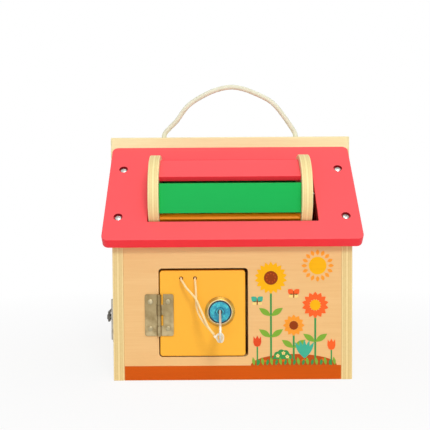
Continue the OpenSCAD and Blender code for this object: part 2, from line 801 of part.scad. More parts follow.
module key_string_loop() color(CREAM) {
    cord(loop_points, string_d, 8, 2, [0, 1, 0]);
    translate(loop_knot) sphere(d = loop_knot_d, $fn = loop_knot_sides);
}

base_panel();
front_panel();
back_panel();
left_gable();
right_gable();
roof_front();
roof_back();
ridge_board();
panel_dowels();
roof_screws();
axle_rod();
axle_plugs();
rope_handle();
rope_knots();
front_hinge_wall_leaf();
front_hinge_pin();
front_hinge_wall_screws();
side_hinge_wall_leaf();
side_hinge_pin();
side_hinge_wall_screws();
turn_button_post();
front_door_panel();
front_hinge_door_leaf();
front_hinge_door_screws();
lock_housing();
lock_face_ring();
lock_ring_nut();
key_string();
lock_plug();
lock_cam();
lock_cam_nut();
key_string_loop();
key();
drum_disc_left();
drum_disc_right();
drum_slat(0);  // drum_slat_1
drum_slat(1);  // drum_slat_2
drum_slat(2);  // drum_slat_3
drum_slat(3);  // drum_slat_4
drum_slat(4);  // drum_slat_5
drum_slat(5);  // drum_slat_6
drum_brads();
side_door_panel();
side_hinge_door_leaf();
side_hinge_door_screws();
turn_button();
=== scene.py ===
# %% [markdown]
# # A wooden activity house
# This lesson dresses a toy house that a child locks and unlocks: plywood walls, a painted roof with a
# turning drum, two doors on butt hinges, a cam lock with its key on a string, and a rope to carry it by.
# The solids come from the frame, already at their real size. Blender adds what makes them look made:
# eased edges, plies, paint, plating, twisted cotton and a printed front.

# %% Load the frame
import json
import math

import bmesh
import bpy
from mathutils import Matrix, Vector


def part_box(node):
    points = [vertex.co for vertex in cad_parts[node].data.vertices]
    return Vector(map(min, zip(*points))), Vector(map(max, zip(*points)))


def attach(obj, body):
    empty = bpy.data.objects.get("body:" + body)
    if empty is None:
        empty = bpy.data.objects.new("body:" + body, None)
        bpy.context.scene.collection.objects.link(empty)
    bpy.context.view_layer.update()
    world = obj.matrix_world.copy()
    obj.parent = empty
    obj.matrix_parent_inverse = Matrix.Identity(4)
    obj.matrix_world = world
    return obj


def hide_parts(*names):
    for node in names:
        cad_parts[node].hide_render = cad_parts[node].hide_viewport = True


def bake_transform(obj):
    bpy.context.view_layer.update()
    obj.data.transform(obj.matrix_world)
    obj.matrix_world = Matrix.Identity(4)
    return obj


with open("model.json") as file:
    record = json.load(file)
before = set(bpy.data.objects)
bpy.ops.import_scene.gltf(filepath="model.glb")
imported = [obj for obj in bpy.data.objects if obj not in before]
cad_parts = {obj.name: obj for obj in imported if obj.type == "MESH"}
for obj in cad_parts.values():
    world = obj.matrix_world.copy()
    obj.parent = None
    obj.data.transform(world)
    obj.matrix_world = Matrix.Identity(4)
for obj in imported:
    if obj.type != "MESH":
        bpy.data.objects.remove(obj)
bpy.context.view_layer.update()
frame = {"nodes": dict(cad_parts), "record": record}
MM = 0.001
BODY_OF = {node: body for body, nodes in frame["record"]["behaviour"]["bodies"].items() for node in nodes}

# %% [markdown]
# ## Camera
# The photograph looks at the front from a little above, through a lens of medium length. The place and
# the lens were solved from the corners of the house, so they are written here as plain numbers. A camera
# looks along its own -Z, so it is first tipped up to face +Y and then rolled a third of a degree.

# %% Camera
CAMERA_PLACE = Vector((-14.22, -685.78, 166.81)) * MM
LOOK_DOWN = math.radians(2.63)
ROLL = math.radians(-0.37)
LENS, SENSOR = 61.64, 36

camera = bpy.data.objects.new("camera", bpy.data.cameras.new("camera"))
camera.data.lens = LENS
camera.data.sensor_width = SENSOR
camera.matrix_world = (
    Matrix.Translation(CAMERA_PLACE)
    @ Matrix.Rotation(math.pi / 2 - LOOK_DOWN, 4, "X")
    @ Matrix.Rotation(ROLL, 4, "Z")
)
bpy.context.scene.collection.objects.link(camera)
bpy.context.scene.camera = camera
print("camera stands", round(CAMERA_PLACE.length, 3), "m from the house")

# %% [markdown]
# ## Building shaders in code
# Every finish below is a small graph of nodes. One helper adds a node and fills its sockets, and another
# opens a node group with named inputs and outputs, so that an effect is written once and used by many
# materials. Colours are given as a paint chart gives them, from 0 to 255.

# %% Shader helpers
def srgb(red, green, blue):
    """A colour from 0 to 255 as the linear colour that a shader takes."""
    shares = [value / 255 for value in (red, green, blue)]
    return tuple(s / 12.92 if s <= 0.04045 else ((s + 0.055) / 1.055) ** 2.4 for s in shares) + (1.0,)


def darker(colour, share):
    return tuple(value * share for value in colour[:3]) + (1.0,)


def place(tree, kind, sockets=None, **settings):
    """Adds a node with its settings, and fills or links its input sockets."""
    node = tree.nodes.new(kind)
    for name, value in settings.items():
        setattr(node, name, value)
    for name, value in (sockets or {}).items():
        if isinstance(value, bpy.types.NodeSocket):
            tree.links.new(value, node.inputs[name])
        else:
            node.inputs[name].default_value = value
    return node


def maths(tree, operation, first, second=0.0, third=0.0):
    return place(tree, "ShaderNodeMath", {0: first, 1: second, 2: third}, operation=operation).outputs[0]


def centred(tree, value, spread):
    """Turns a value from 0 to 1 into one that swings about 0, by half the spread each way."""
    return maths(tree, "MULTIPLY_ADD", value, spread, -spread / 2)


def vectors(tree, operation, *values):
    """One step of vector maths. A dot product or a length comes out as a plain number."""
    node = place(tree, "ShaderNodeVectorMath", dict(enumerate(values)), operation=operation)
    return node.outputs["Value" if operation in ("DOT_PRODUCT", "LENGTH") else "Vector"]


def noise(tree, where, scale, detail, distortion=0.0):
    return place(tree, "ShaderNodeTexNoise", {"Vector": where, "Scale": scale, "Detail": detail,
                                              "Distortion": distortion}).outputs["Fac"]


def mixed(tree, factor, first, second):
    """Mixes two colours. The colour sockets of a Mix node are numbers 6 and 7, and its result is number 2."""
    return place(tree, "ShaderNodeMix", {0: factor, 6: first, 7: second}, data_type="RGBA").outputs[2]


def ramp(tree, factor, stops):
    """A grey ramp through stops of (place, value)."""
    node = place(tree, "ShaderNodeValToRGB", {"Fac": factor})
    while len(node.color_ramp.elements) < len(stops):
        node.color_ramp.elements.new(1.0)
    for element, (where, value) in zip(node.color_ramp.elements, stops):
        element.position = where
        element.color = (value, value, value, 1.0)
    return node.outputs["Color"]


def new_group(kind, name, inputs, outputs):
    """A new tree of nodes, what its named inputs give and its output node."""
    tree = bpy.data.node_groups.new(name, kind + "NodeTree")
    for way, sockets in (("INPUT", inputs), ("OUTPUT", outputs)):
        for label, socket_type in sockets.items():
            tree.interface.new_socket(label, in_out=way, socket_type=socket_type)
    return tree, tree.nodes.new("NodeGroupInput").outputs, tree.nodes.new("NodeGroupOutput")


def link_all(tree, node, **sockets):
    """Links values to a node's inputs. An underscore stands for a space in a socket's name."""
    for name, value in sockets.items():
        tree.links.new(value, node.inputs[name.replace("_", " ")])
    return tree


def use_group(tree, group, sockets):
    return place(tree, "ShaderNodeGroup", sockets, node_tree=group).outputs


COLOUR, NUMBER, VECTOR = "NodeSocketColor", "NodeSocketFloat", "NodeSocketVector"
GEOMETRY, OBJECT, WHOLE = "NodeSocketGeometry", "NodeSocketObject", "NodeSocketInt"
FINISH = "NodeSocketMaterial"
print("shader helpers ready")

# %% [markdown]
# ## Wood grain
# Birch veneer shows fine streaks about a millimetre wide and a few centimetres long, over slower bands of
# lighter and darker wood. Noise gives both when its coordinates are squeezed across the grain. The group
# takes coordinates whose X runs along the grain, so each board turns them to its own direction first.

# %% Wood grain group
STREAKS_PER_M = (36, 900, 900)
BANDS_PER_M = (7, 70, 70)
STREAK_SHARE, BAND_SHARE = 0.55, 0.45
GRAIN_SPREAD = [(0.32, 0.0), (0.68, 1.0)]


def make_grain_group():
    tree, given, result = new_group(
        "Shader", "Wood grain",
        {"Vector": VECTOR, "Light": COLOUR, "Dark": COLOUR, "Contrast": NUMBER},
        {"Color": COLOUR, "Height": NUMBER},
    )
    streaks = noise(tree, vectors(tree, "MULTIPLY", given["Vector"], STREAKS_PER_M), 1.0, 4.0)
    bands = noise(tree, vectors(tree, "MULTIPLY", given["Vector"], BANDS_PER_M), 1.0, 3.0, distortion=0.6)
    together = maths(tree, "ADD", maths(tree, "MULTIPLY", streaks, STREAK_SHARE),
                     maths(tree, "MULTIPLY", bands, BAND_SHARE))
    depth = maths(tree, "MULTIPLY", ramp(tree, together, GRAIN_SPREAD), given["Contrast"])
    colour = mixed(tree, depth, given["Light"], given["Dark"])
    return link_all(tree, result, Color=colour, Height=streaks)


GRAIN = make_grain_group()
print("node group:", GRAIN.name)

# %% [markdown]
# ## Plies
# A plywood edge is a stack of veneers: every second one shows its end grain and looks darker, with a thin
# glue line between. Which side of a board is an edge is told by the surface's own normal, and the place in
# the stack is the distance along the board's thickness.

# %% Ply group
PLY_TONES = [
    (0.0, 0.95), (0.13, 0.9), (0.15, 0.3), (0.19, 0.62), (0.36, 0.66), (0.385, 0.25), (0.42, 0.95),
    (0.58, 0.95), (0.61, 0.25), (0.64, 0.6), (0.81, 0.66), (0.84, 0.3), (0.87, 0.9), (1.0, 0.95),
]
EDGE_FACING = [(0.55, 1.0), (0.8, 0.0)]
WAVERS_PER_M, WAVER = 90.0, 0.05
FIBRES_PER_M, FIBRE_TONE = 700.0, 0.3


def make_ply_group():
    tree, given, result = new_group(
        "Shader", "Plies",
        {"Vector": VECTOR, "Normal": VECTOR, "Axis": VECTOR, "Start": NUMBER, "Thickness": NUMBER},
        {"Edge": NUMBER, "Tone": NUMBER},
    )
    facing = vectors(tree, "DOT_PRODUCT", given["Normal"], given["Axis"])
    along = vectors(tree, "DOT_PRODUCT", given["Vector"], given["Axis"])
    waver = centred(tree, noise(tree, given["Vector"], WAVERS_PER_M, 2.0), WAVER)
    share = maths(tree, "DIVIDE", maths(tree, "SUBTRACT", along, given["Start"]), given["Thickness"])
    tone = ramp(tree, maths(tree, "ADD", share, waver), PLY_TONES)
    fibres = noise(tree, given["Vector"], FIBRES_PER_M, 3.0)
    rough_tone = maths(tree, "ADD", tone, centred(tree, fibres, FIBRE_TONE))
    edge = ramp(tree, maths(tree, "ABSOLUTE", facing), EDGE_FACING)
    return link_all(tree, result, Edge=edge, Tone=rough_tone)


PLIES = make_ply_group()
print("node group:", PLIES.name)

# %% [markdown]
# ## Paint
# Toy paint is a satin film. It is even in colour, but it pools a little and follows the grain under it. The
# group gives a colour that drifts by a few parts in a hundred, a roughness that drifts too, and a height
# for the fine orange peel. The sawn edges of a board get a deeper colour than its broad faces, and the
# walls of drilled holes a dark one: both are painted shade, for faces that the light reaches less. An
# attribute on the mesh tells which faces those are.

# %% Paint group
CLOUDS_PER_M, CLOUD_GLOSS = 38.0, 0.16
VEINS_PER_M, VEIN_TONE = (40, 800, 800), 0.05
PEEL_PER_M, PEEL_SHARE = 1500.0, 0.5


def make_paint_group():
    tree, given, result = new_group(
        "Shader", "Paint film",
        {"Vector": VECTOR, "Color": COLOUR, "Roughness": NUMBER, "Drift": NUMBER},
        {"Color": COLOUR, "Roughness": NUMBER, "Height": NUMBER},
    )
    clouds = noise(tree, given["Vector"], CLOUDS_PER_M, 4.0)
    veins = noise(tree, vectors(tree, "MULTIPLY", given["Vector"], VEINS_PER_M), 1.0, 2.0)
    peel = noise(tree, given["Vector"], PEEL_PER_M, 1.0)
    lift = maths(tree, "MULTIPLY_ADD", clouds, given["Drift"], maths(tree, "MULTIPLY", given["Drift"], -0.5))
    gain = maths(tree, "ADD", maths(tree, "ADD", lift, centred(tree, veins, VEIN_TONE)), 1.0)
    tint = place(tree, "ShaderNodeVectorMath", {0: given["Color"], "Scale": gain}, operation="SCALE")
    rough = maths(tree, "MULTIPLY_ADD", clouds, CLOUD_GLOSS,
                  maths(tree, "SUBTRACT", given["Roughness"], CLOUD_GLOSS / 2))
    height = maths(tree, "ADD", maths(tree, "MULTIPLY", peel, PEEL_SHARE), veins)
    return link_all(tree, result, Color=tint.outputs[0], Roughness=rough, Height=height)


PAINT = make_paint_group()
print("node group:", PAINT.name)

# %% [markdown]
# ## Plated metal
# The hinges are stamped from rolled strip, so fine lines run along them, and the zinc is cloudy. Screws
# and the lock use the same group with their own colours.

# %% Metal group
LINES_PER_M = (2600, 2600, 90)
TARNISH_PER_M, TARNISH_GLOSS = 160.0, 0.14
TARNISH_SPREAD = [(0.35, 0.0), (0.7, 1.0)]


def make_metal_group():
    tree, given, result = new_group(
        "Shader", "Rolled metal",
        {"Vector": VECTOR, "Bright": COLOUR, "Dull": COLOUR, "Roughness": NUMBER},
        {"Color": COLOUR, "Roughness": NUMBER, "Height": NUMBER},
    )
    lines = noise(tree, vectors(tree, "MULTIPLY", given["Vector"], LINES_PER_M), 1.0, 3.0)
    spread = ramp(tree, noise(tree, given["Vector"], TARNISH_PER_M, 4.0), TARNISH_SPREAD)
    rough = maths(tree, "ADD", given["Roughness"], centred(tree, spread, TARNISH_GLOSS))
    colour = mixed(tree, spread, given["Bright"], given["Dull"])
    return link_all(tree, result, Color=colour, Roughness=rough, Height=lines)


METAL = make_metal_group()
print("node group:", METAL.name)

# %% [markdown]
# ## Materials
# A material joins one or two groups to a Principled shader. What is the same all over a surface, such as
# the coat or the sheen, is set on the shader itself.

# %% Material helpers
SAWN_EDGE = "sawn_edge"
GRAIN_TURNS = {"X": (0, 0, 0), "Z": (0, math.pi / 2, 0)}
AXES = {"X": Vector((1, 0, 0)), "Y": Vector((0, 1, 0)), "Z": Vector((0, 0, 1))}
PAINT_ROUGHNESS, PAINT_DRIFT = 0.45, 0.08
HOLE_SHADE = 0.3
PAINTED_SHADE_SHARE = 0.75


def new_material(name, **plain):
    """A material, its tree and its coordinates. The plain values are the same all over its surface."""
    material = bpy.data.materials.new(name)
    material.use_nodes = True
    tree = material.node_tree
    for socket, value in plain.items():
        tree.nodes["Principled BSDF"].inputs[socket.replace("_", " ")].default_value = value
    return material, tree, tree.nodes.new("ShaderNodeTexCoord").outputs


def dress(material, height, relief, **links):
    """Links values to a material's shader, with a height that raises bumps of a given relief."""
    tree = material.node_tree
    bump = place(tree, "ShaderNodeBump", {"Height": height, "Distance": relief, "Strength": 1.0})
    link_all(tree, tree.nodes["Principled BSDF"], Normal=bump.outputs["Normal"], **links)
    return material


def grain_along(tree, where, along, light, dark, contrast):
    """The grain group on Object coordinates, turned so that their X runs along the board's grain."""
    turned = place(tree, "ShaderNodeMapping", {"Vector": where["Object"], "Rotation": GRAIN_TURNS[along]})
    return use_group(tree, GRAIN, {"Vector": turned.outputs[0], "Light": light, "Dark": dark,
                                   "Contrast": contrast})


def plywood(node, along, across, veneers, plies, contrast=0.75):
    """Bare plywood for a board: veneer on its faces and plies on its edges, each with a light and a dark."""
    material, tree, where = new_material(node.replace("_", " ") + " plywood", Roughness=0.55)
    low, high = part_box(node)
    axis = AXES[across]
    veneer = grain_along(tree, where, along, *veneers, contrast)
    stack = use_group(tree, PLIES, {"Vector": where["Object"], "Normal": where["Normal"], "Axis": axis,
                                    "Start": low.dot(axis), "Thickness": (high - low).dot(axis)})
    layers = mixed(tree, stack["Tone"], plies[1], plies[0])
    return dress(material, veneer["Height"], 0.04 * MM,
                 Base_Color=mixed(tree, stack["Edge"], veneer["Color"], layers))


def solid_wood(name, along, light, dark, contrast, gloss=0.5):
    """One piece of wood, bare or under a thin ink, with the same grain on every side."""
    material, tree, where = new_material(name, Roughness=0.55, Specular_IOR_Level=gloss)
    grain = grain_along(tree, where, along, light, dark, contrast)
    return dress(material, grain["Height"], 0.03 * MM, Base_Color=grain["Color"])


def painted(name, colour, edge_shade_colour):
    """Satin paint: one colour on broad faces, and painted shade: a deeper one on sawn edges, a dark one in
    holes.
    """
    material, tree, where = new_material(name, Specular_IOR_Level=0.2, Coat_Weight=0.04, Coat_Roughness=0.25)
    sawn = place(tree, "ShaderNodeAttribute", attribute_name=SAWN_EDGE).outputs["Fac"]
    edge_shaded = mixed(tree, sawn, colour, edge_shade_colour)
    hole_shaded = mixed(tree, maths(tree, "SUBTRACT", sawn, 1.0), edge_shaded, darker(edge_shade_colour, HOLE_SHADE))
    film = use_group(tree, PAINT, {"Vector": where["Object"], "Color": hole_shaded,
                                   "Roughness": PAINT_ROUGHNESS, "Drift": PAINT_DRIFT})
    return dress(material, film["Height"], 0.02 * MM, Base_Color=film["Color"], Roughness=film["Roughness"])


def plated(name, bright, dull, roughness, metallic=1.0, painted_shade=None):
    """Plated metal. Given two heights, the plate goes duller from the first up to the second, as painted
    shade.
    """
    material, tree, where = new_material(name, Metallic=metallic)
    skin = use_group(tree, METAL, {"Vector": where["Object"], "Bright": bright, "Dull": dull,
                                   "Roughness": roughness})
    colour = skin["Color"]
    if painted_shade:
        height = place(tree, "ShaderNodeSeparateXYZ", {0: where["Object"]}).outputs["Z"]
        low, high = painted_shade
        share = place(tree, "ShaderNodeMapRange", {"Value": height, "From Min": low, "From Max": high,
                                                   "To Max": PAINTED_SHADE_SHARE}, clamp=True)
        colour = mixed(tree, share.outputs[0], colour, dull)
    return dress(material, skin["Height"], 0.01 * MM, Base_Color=colour, Roughness=skin["Roughness"])


print("material helpers ready")

# %% Wood and paint
WALL_PLIES = srgb(241, 217, 154), srgb(204, 166, 94)
WALL_VENEER = srgb(246, 214, 156), srgb(226, 182, 118)
FRONT_VENEER = srgb(239, 193, 128), srgb(226, 170, 102)
DISC_PLIES = srgb(247, 230, 166), srgb(216, 182, 108)
DISC_VENEER = srgb(248, 242, 188), srgb(236, 218, 156)
panel_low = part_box("front_panel")[0]
BOARD_WOODS = {
    "base_panel": plywood("base_panel", "X", "Z", WALL_VENEER, WALL_PLIES),
    "front_panel": plywood("front_panel", "X", "Y", FRONT_VENEER, WALL_PLIES, contrast=0.45),
    "back_panel": plywood("back_panel", "X", "Y", WALL_VENEER, WALL_PLIES),
    "ridge_board": solid_wood("ridge board wood", "X", srgb(246, 234, 182), srgb(234, 214, 154), 0.6),
}
for board in ("left_gable", "right_gable"):
    BOARD_WOODS[board] = plywood(board, "Z", "X", WALL_VENEER, WALL_PLIES)
for board in ("drum_disc_left", "drum_disc_right"):
    BOARD_WOODS[board] = plywood(board, "Z", "X", DISC_VENEER, DISC_PLIES)
# The second colour of each paint is painted shade, for the sawn edges.
red_paint = painted("red paint", srgb(249, 88, 93), srgb(255, 50, 64))
yellow_paint = painted("yellow paint", srgb(252, 184, 56), srgb(246, 160, 22))
green_paint = painted("green paint", srgb(2, 181, 80), srgb(1, 154, 58))
orange_paint = painted("orange paint", srgb(255, 184, 10), srgb(248, 148, 6))
print("bare boards:", len(BOARD_WOODS), "and 4 paints")

# %% Metal and plastic
# The front hinge goes duller towards its top: painted shade for the dark that its upper part mirrors.
hinge_low, hinge_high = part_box("front_hinge_wall_leaf")
hinge_metal = plated("zinc plated hinge", srgb(188, 170, 130), srgb(134, 116, 80), 0.36,
                     painted_shade=(hinge_low.z + 6 * MM, hinge_high.z - 8 * MM))
side_hinge_metal = plated("dull zinc hinge", srgb(196, 190, 178), srgb(164, 158, 146), 0.42)
screw_metal = plated("zinc plated screws", srgb(190, 178, 144), srgb(156, 142, 108), 0.5)
steel_metal = plated("plain steel", srgb(215, 214, 210), srgb(180, 178, 172), 0.3)
# This steel is painted dark as shade: the turn button and its post sit edge-on in shade, and the axle rod
# sits inside the drum.
shaded_latch_steel = plated("steel painted dark for shade", srgb(112, 108, 102), srgb(84, 80, 76), 0.4)
key_metal = plated("satin nickel", srgb(226, 224, 210), srgb(204, 200, 184), 0.56, metallic=0.6)

lock_low, lock_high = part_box("lock_housing")
LOCK_MIDDLE = (lock_low + lock_high) / 2
KEYHOLE_R, FACE_R, GROOVE_R, LIP_R = 2.1 * MM, 8.5 * MM, 9.55 * MM, 10.3 * MM
# Painted shade: the groove round the lock's face, the face's rim and the keyhole are coloured dark where
# shade falls.
PAINTED_GROOVE_SHADE, PAINTED_KEYHOLE_SHADE = srgb(16, 40, 58), srgb(4, 58, 66)
BARE_LIP = srgb(216, 200, 164)
FLAKES_PER_M, FLAKE_CLOUDS_PER_M = 1400.0, 420.0


def lock_radius(tree, where):
    """Distance from the lock's own axis, which runs along Y."""
    apart = vectors(tree, "SUBTRACT", where["Object"], LOCK_MIDDLE)
    return vectors(tree, "LENGTH", vectors(tree, "MULTIPLY", apart, (1, 0, 1)))


def step_at(tree, value, where, soft=0.1 * MM):
    """0 below a value and 1 above it."""
    return place(tree, "ShaderNodeMapRange", {"Value": value, "From Min": where - soft,
                                              "From Max": where + soft}, clamp=True).outputs[0]


def bezel_zinc():
    """Polished yellow zinc, bare and bright at its lip, with painted shade in the groove around the face."""
    material = plated("polished yellow zinc", srgb(206, 174, 84), srgb(184, 148, 66), 0.3)
    tree = material.node_tree
    shader = tree.nodes["Principled BSDF"]
    radius = lock_radius(tree, tree.nodes.new("ShaderNodeTexCoord").outputs)
    outside = step_at(tree, radius, GROOVE_R)
    zinc = shader.inputs["Base Color"].links[0].from_socket
    lipped = mixed(tree, step_at(tree, radius, LIP_R, 0.25 * MM), BARE_LIP, zinc)
    link_all(tree, shader, Base_Color=mixed(tree, outside, PAINTED_GROOVE_SHADE, lipped), Metallic=outside)
    return material


def lock_face_blue():
    """Blue lacquer with flakes in it, under a clear coat. Painted shade darkens its rim and its keyhole."""
    material, tree, where = new_material("blue flake lacquer", Roughness=0.32, Metallic=0.35,
                                         Coat_Weight=0.5, Coat_Roughness=0.06)
    flakes = place(tree, "ShaderNodeTexVoronoi", {"Vector": where["Object"], "Scale": FLAKES_PER_M})
    clouds = noise(tree, where["Object"], FLAKE_CLOUDS_PER_M, 3.0)
    sparkle = maths(tree, "MULTIPLY", ramp(tree, clouds, [(0.4, 0.1), (0.65, 1.0)]),
                    ramp(tree, flakes.outputs["Distance"], [(0.2, 1.0), (0.6, 0.3)]))
    radius = lock_radius(tree, where)
    lacquer = mixed(tree, sparkle, srgb(2, 132, 168), srgb(76, 224, 222))
    rimmed = mixed(tree, step_at(tree, radius, FACE_R, 0.3 * MM), lacquer, PAINTED_GROOVE_SHADE)
    return dress(material, flakes.outputs["Distance"], 0.03 * MM,
                 Base_Color=mixed(tree, step_at(tree, radius, KEYHOLE_R), PAINTED_KEYHOLE_SHADE, rimmed))


bezel_metal = bezel_zinc()
blue_lacquer = lock_face_blue()
print("metal and plastic: 7 plated metals and a lacquer")

# %% [markdown]
# ## Eased edges
# No sawn board or stamped plate has a knife edge. Each solid of the frame is copied, its doubled points
# are merged and its flat triangles are joined into whole faces. The long sharp edges then get a small
# round, and the rims of screw holes a smaller one. A bevel that is told where to work by edge weights does
# both at once. Normals weighted by the faces' strength then keep the flat faces flat up to their rounds.

# %% Easing helper
SHARP = math.radians(35)
MERGE = 0.002 * MM
FLAT = math.radians(0.6)
SMALL_RIM = 14 * MM
HOLE_SLACK = 0.6 * MM
BROAD_FACING = 0.6
ROUND_STEPS = 3
BOARD_RIM = 0.15


def welded(node):
    """The shape of one node of the frame, with its doubled points merged."""
    shape = bmesh.new()
    shape.from_mesh(frame["nodes"][node].data)
    bmesh.ops.remove_doubles(shape, verts=shape.verts, dist=MERGE)
    return shape


def clusters(items, beside):
    """Groups of items that hang together. beside(item) gives the set that touches an item."""
    left, groups = set(items), []
    while left:
        group, reach = [], [left.pop()]
        while reach:
            item = reach.pop()
            group.append(item)
            near = beside(item) & left
            left -= near
            reach.extend(near)
        groups.append(group)
    return groups


def sharp_chains(shape):
    """Groups of sharp edges: a board's outline is one, each hole's rim another."""
    sharp = [edge for edge in shape.edges if len(edge.link_faces) == 2 and edge.calc_face_angle() > SHARP]
    return clusters(sharp, lambda edge: {other for vert in edge.verts for other in vert.link_edges})


def reach_of(edges):
    """The lowest and highest corner of a group of edges."""
    points = [vert.co for edge in edges for vert in edge.verts]
    return [Vector(pick(point[axis] for point in points) for axis in range(3)) for pick in (min, max)]


def plain_mesh(thing):
    """Turns what an object's modifiers make into its own mesh, and takes the modifiers off."""
    bpy.context.view_layer.update()
    evaluated = thing.evaluated_get(bpy.context.evaluated_depsgraph_get())
    mesh = bpy.data.meshes.new_from_object(evaluated, preserve_all_data_layers=True,
                                           depsgraph=bpy.context.evaluated_depsgraph_get())
    thing.modifiers.clear()
    thing.data = mesh
    return thing


def modify(piece, name, kind, **settings):
    """Runs one modifier on a piece and keeps the result as a plain mesh."""
    modifier = piece.modifiers.new(name, kind)
    for setting, value in settings.items():
        setattr(modifier, setting, value)
    return plain_mesh(piece)


def new_piece(name, mesh, material):
    piece = bpy.data.objects.new(name, mesh)
    bpy.context.scene.collection.objects.link(piece)
    mesh.materials.clear()
    mesh.materials.append(material)
    return piece


def shape_piece(name, shape, material):
    """A piece from a shape, which is then freed."""
    mesh = bpy.data.meshes.new(name)
    shape.to_mesh(mesh)
    shape.free()
    return new_piece(name, mesh, material)


def stand_for(piece, node):
    """The piece moves with a node's body and is shown in its place."""
    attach(piece, BODY_OF[node])
    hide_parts(node)
    return piece


def mark_sawn_edges(mesh, holes):
    """Tells a board's edges from its broad faces, for the paint's painted shade: 1 on an edge, 2 on the wall
    of a hole.
    """
    broad = max(mesh.polygons, key=lambda polygon: polygon.area).normal.copy()
    marks = []
    for face in mesh.polygons:
        edge = abs(face.normal.dot(broad)) < BROAD_FACING
        hole_shaded = any((face.center - middle).length < reach for middle, reach in holes)
        marks.append(float(edge) * (2.0 if hole_shaded else 1.0))
    mesh.attributes.new(SAWN_EDGE, "FLOAT", "FACE").data.foreach_set("value", marks)


def ease(node, material, radius, rim=BOARD_RIM, bare=None):
    """An eased copy of one solid of the frame, in millimetres. Edges with both ends bare stay sharp."""
    shape = welded(node)
    bmesh.ops.dissolve_limit(shape, angle_limit=FLAT, verts=shape.verts, edges=shape.edges)
    weight = shape.edges.layers.float.new("bevel_weight_edge")
    holes = []
    for chain in sharp_chains(shape):
        low, high = reach_of(chain)
        across = max(high - low)
        share = 1.0
        if across <= SMALL_RIM:
            share = rim / radius
            holes.append(((low + high) / 2, across / 2 + HOLE_SLACK))
        for edge in chain:
            hidden = bare and all(bare(vert.co) for vert in edge.verts)
            edge[weight] = 0.0 if hidden else share
    for face in shape.faces:
        face.smooth = True
    piece = shape_piece("eased_" + node, shape, material)
    modify(piece, "ease", "BEVEL", limit_method="WEIGHT", width=radius * MM, segments=ROUND_STEPS,
           use_clamp_overlap=False, loop_slide=False, face_strength_mode="FSTR_ALL")
    piece.data.set_sharp_from_angle(angle=SHARP)
    modify(piece, "flat faces", "WEIGHTED_NORMAL", use_face_influence=True, keep_sharp=True)
    mark_sawn_edges(piece.data, holes)
    return stand_for(piece, node)


print("easing helper ready")

# %% [markdown]
# ## Boards
# The walls keep crisp edges, because they meet flush. The roof, the doors and the ridge board are handled,
# so their edges are rounder. The drum's slats are thin painted strips between two plywood discs.

# %% Boards
BOARD_ROUNDS = {
    "base_panel": 0.4, "front_panel": 0.45, "back_panel": 0.45, "left_gable": 0.5, "right_gable": 0.5,
    "ridge_board": 1.0, "front_door_panel": 0.9, "side_door_panel": 0.9, "drum_disc_left": 0.8,
    "drum_disc_right": 0.8,
}
BOARD_FINISHES = {**BOARD_WOODS, "front_door_panel": yellow_paint, "side_door_panel": green_paint}
SLAT_PAINTS = [green_paint, red_paint, red_paint, green_paint, orange_paint, orange_paint]
ROOF_ROUND, SLAT_ROUND = 0.7, 0.4
MITRE_REACH = 4.5 * MM
RIDGE_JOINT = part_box("ridge_board")[1].y + MITRE_REACH


def by_the_ridge(point):
    """The mitred ends of the roof panels, where they meet the ridge board and nothing is rounded."""
    return abs(point.y) < RIDGE_JOINT


for node, radius in BOARD_ROUNDS.items():
    ease(node, BOARD_FINISHES[node], radius)
for node in ("roof_front", "roof_back"):
    ease(node, red_paint, ROOF_ROUND, bare=by_the_ridge)
for number, paint in enumerate(SLAT_PAINTS, start=1):
    ease(f"drum_slat_{number}", paint, SLAT_ROUND)
print("eased boards:", len(BOARD_ROUNDS) + 2 + len(SLAT_PAINTS))

# %% [markdown]
# ## Hinges, latch and lock
# These are small metal pieces, so a round of a few tenths of a millimetre is enough to catch the light. The
# lock's face is the blue lacquered ring, set in a plated bezel, and the plug in its middle carries the
# keyway.

# %% Metal pieces
METAL_RIM = 0.12
METAL_PIECES = [
    ("front_hinge_wall_leaf", hinge_metal, 0.25), ("front_hinge_door_leaf", hinge_metal, 0.25),
    ("side_hinge_wall_leaf", side_hinge_metal, 0.25), ("side_hinge_door_leaf", side_hinge_metal, 0.25),
    ("front_hinge_pin", hinge_metal, 0.3), ("side_hinge_pin", side_hinge_metal, 0.3),
    ("turn_button", shaded_latch_steel, 0.3), ("turn_button_post", shaded_latch_steel, 0.2),
    ("lock_housing", bezel_metal, 0.25), ("lock_face_ring", blue_lacquer, 0.2),
    ("lock_plug", blue_lacquer, 0.2), ("lock_ring_nut", steel_metal, 0.4),
    ("lock_cam", steel_metal, 0.3), ("lock_cam_nut", steel_metal, 0.4), ("key", key_metal, 0.35),
]
for node, material, radius in METAL_PIECES:
    ease(node, material, radius, rim=min(radius, METAL_RIM))
for node, material in (("axle_rod", shaded_latch_steel), ("drum_brads", steel_metal),
                       ("axle_plugs", red_paint), ("panel_dowels", BOARD_WOODS["base_panel"])):
    frame["nodes"][node].data.materials.clear()
    frame["nodes"][node].data.materials.append(material)
print("eased metal pieces:", len(METAL_PIECES))

# %% [markdown]
# ## Screws
# All the screws are one shape at two sizes: a low domed head with a crossed slot. One head is turned from
# its profile and slotted with a boolean. Geometry Nodes then put a copy on each place that the frame gives,
# tilted to the surface and spun by chance, because no two screws stop at the same angle.

# %% Screw head
HEAD_STEPS = 32
DOME, RIM_HEIGHT, FOOT = 0.45, 0.9, 0.98
SLOT_LENGTH, SLOT_WIDTH, SLOT_DEPTH = 0.62, 0.14, 0.9


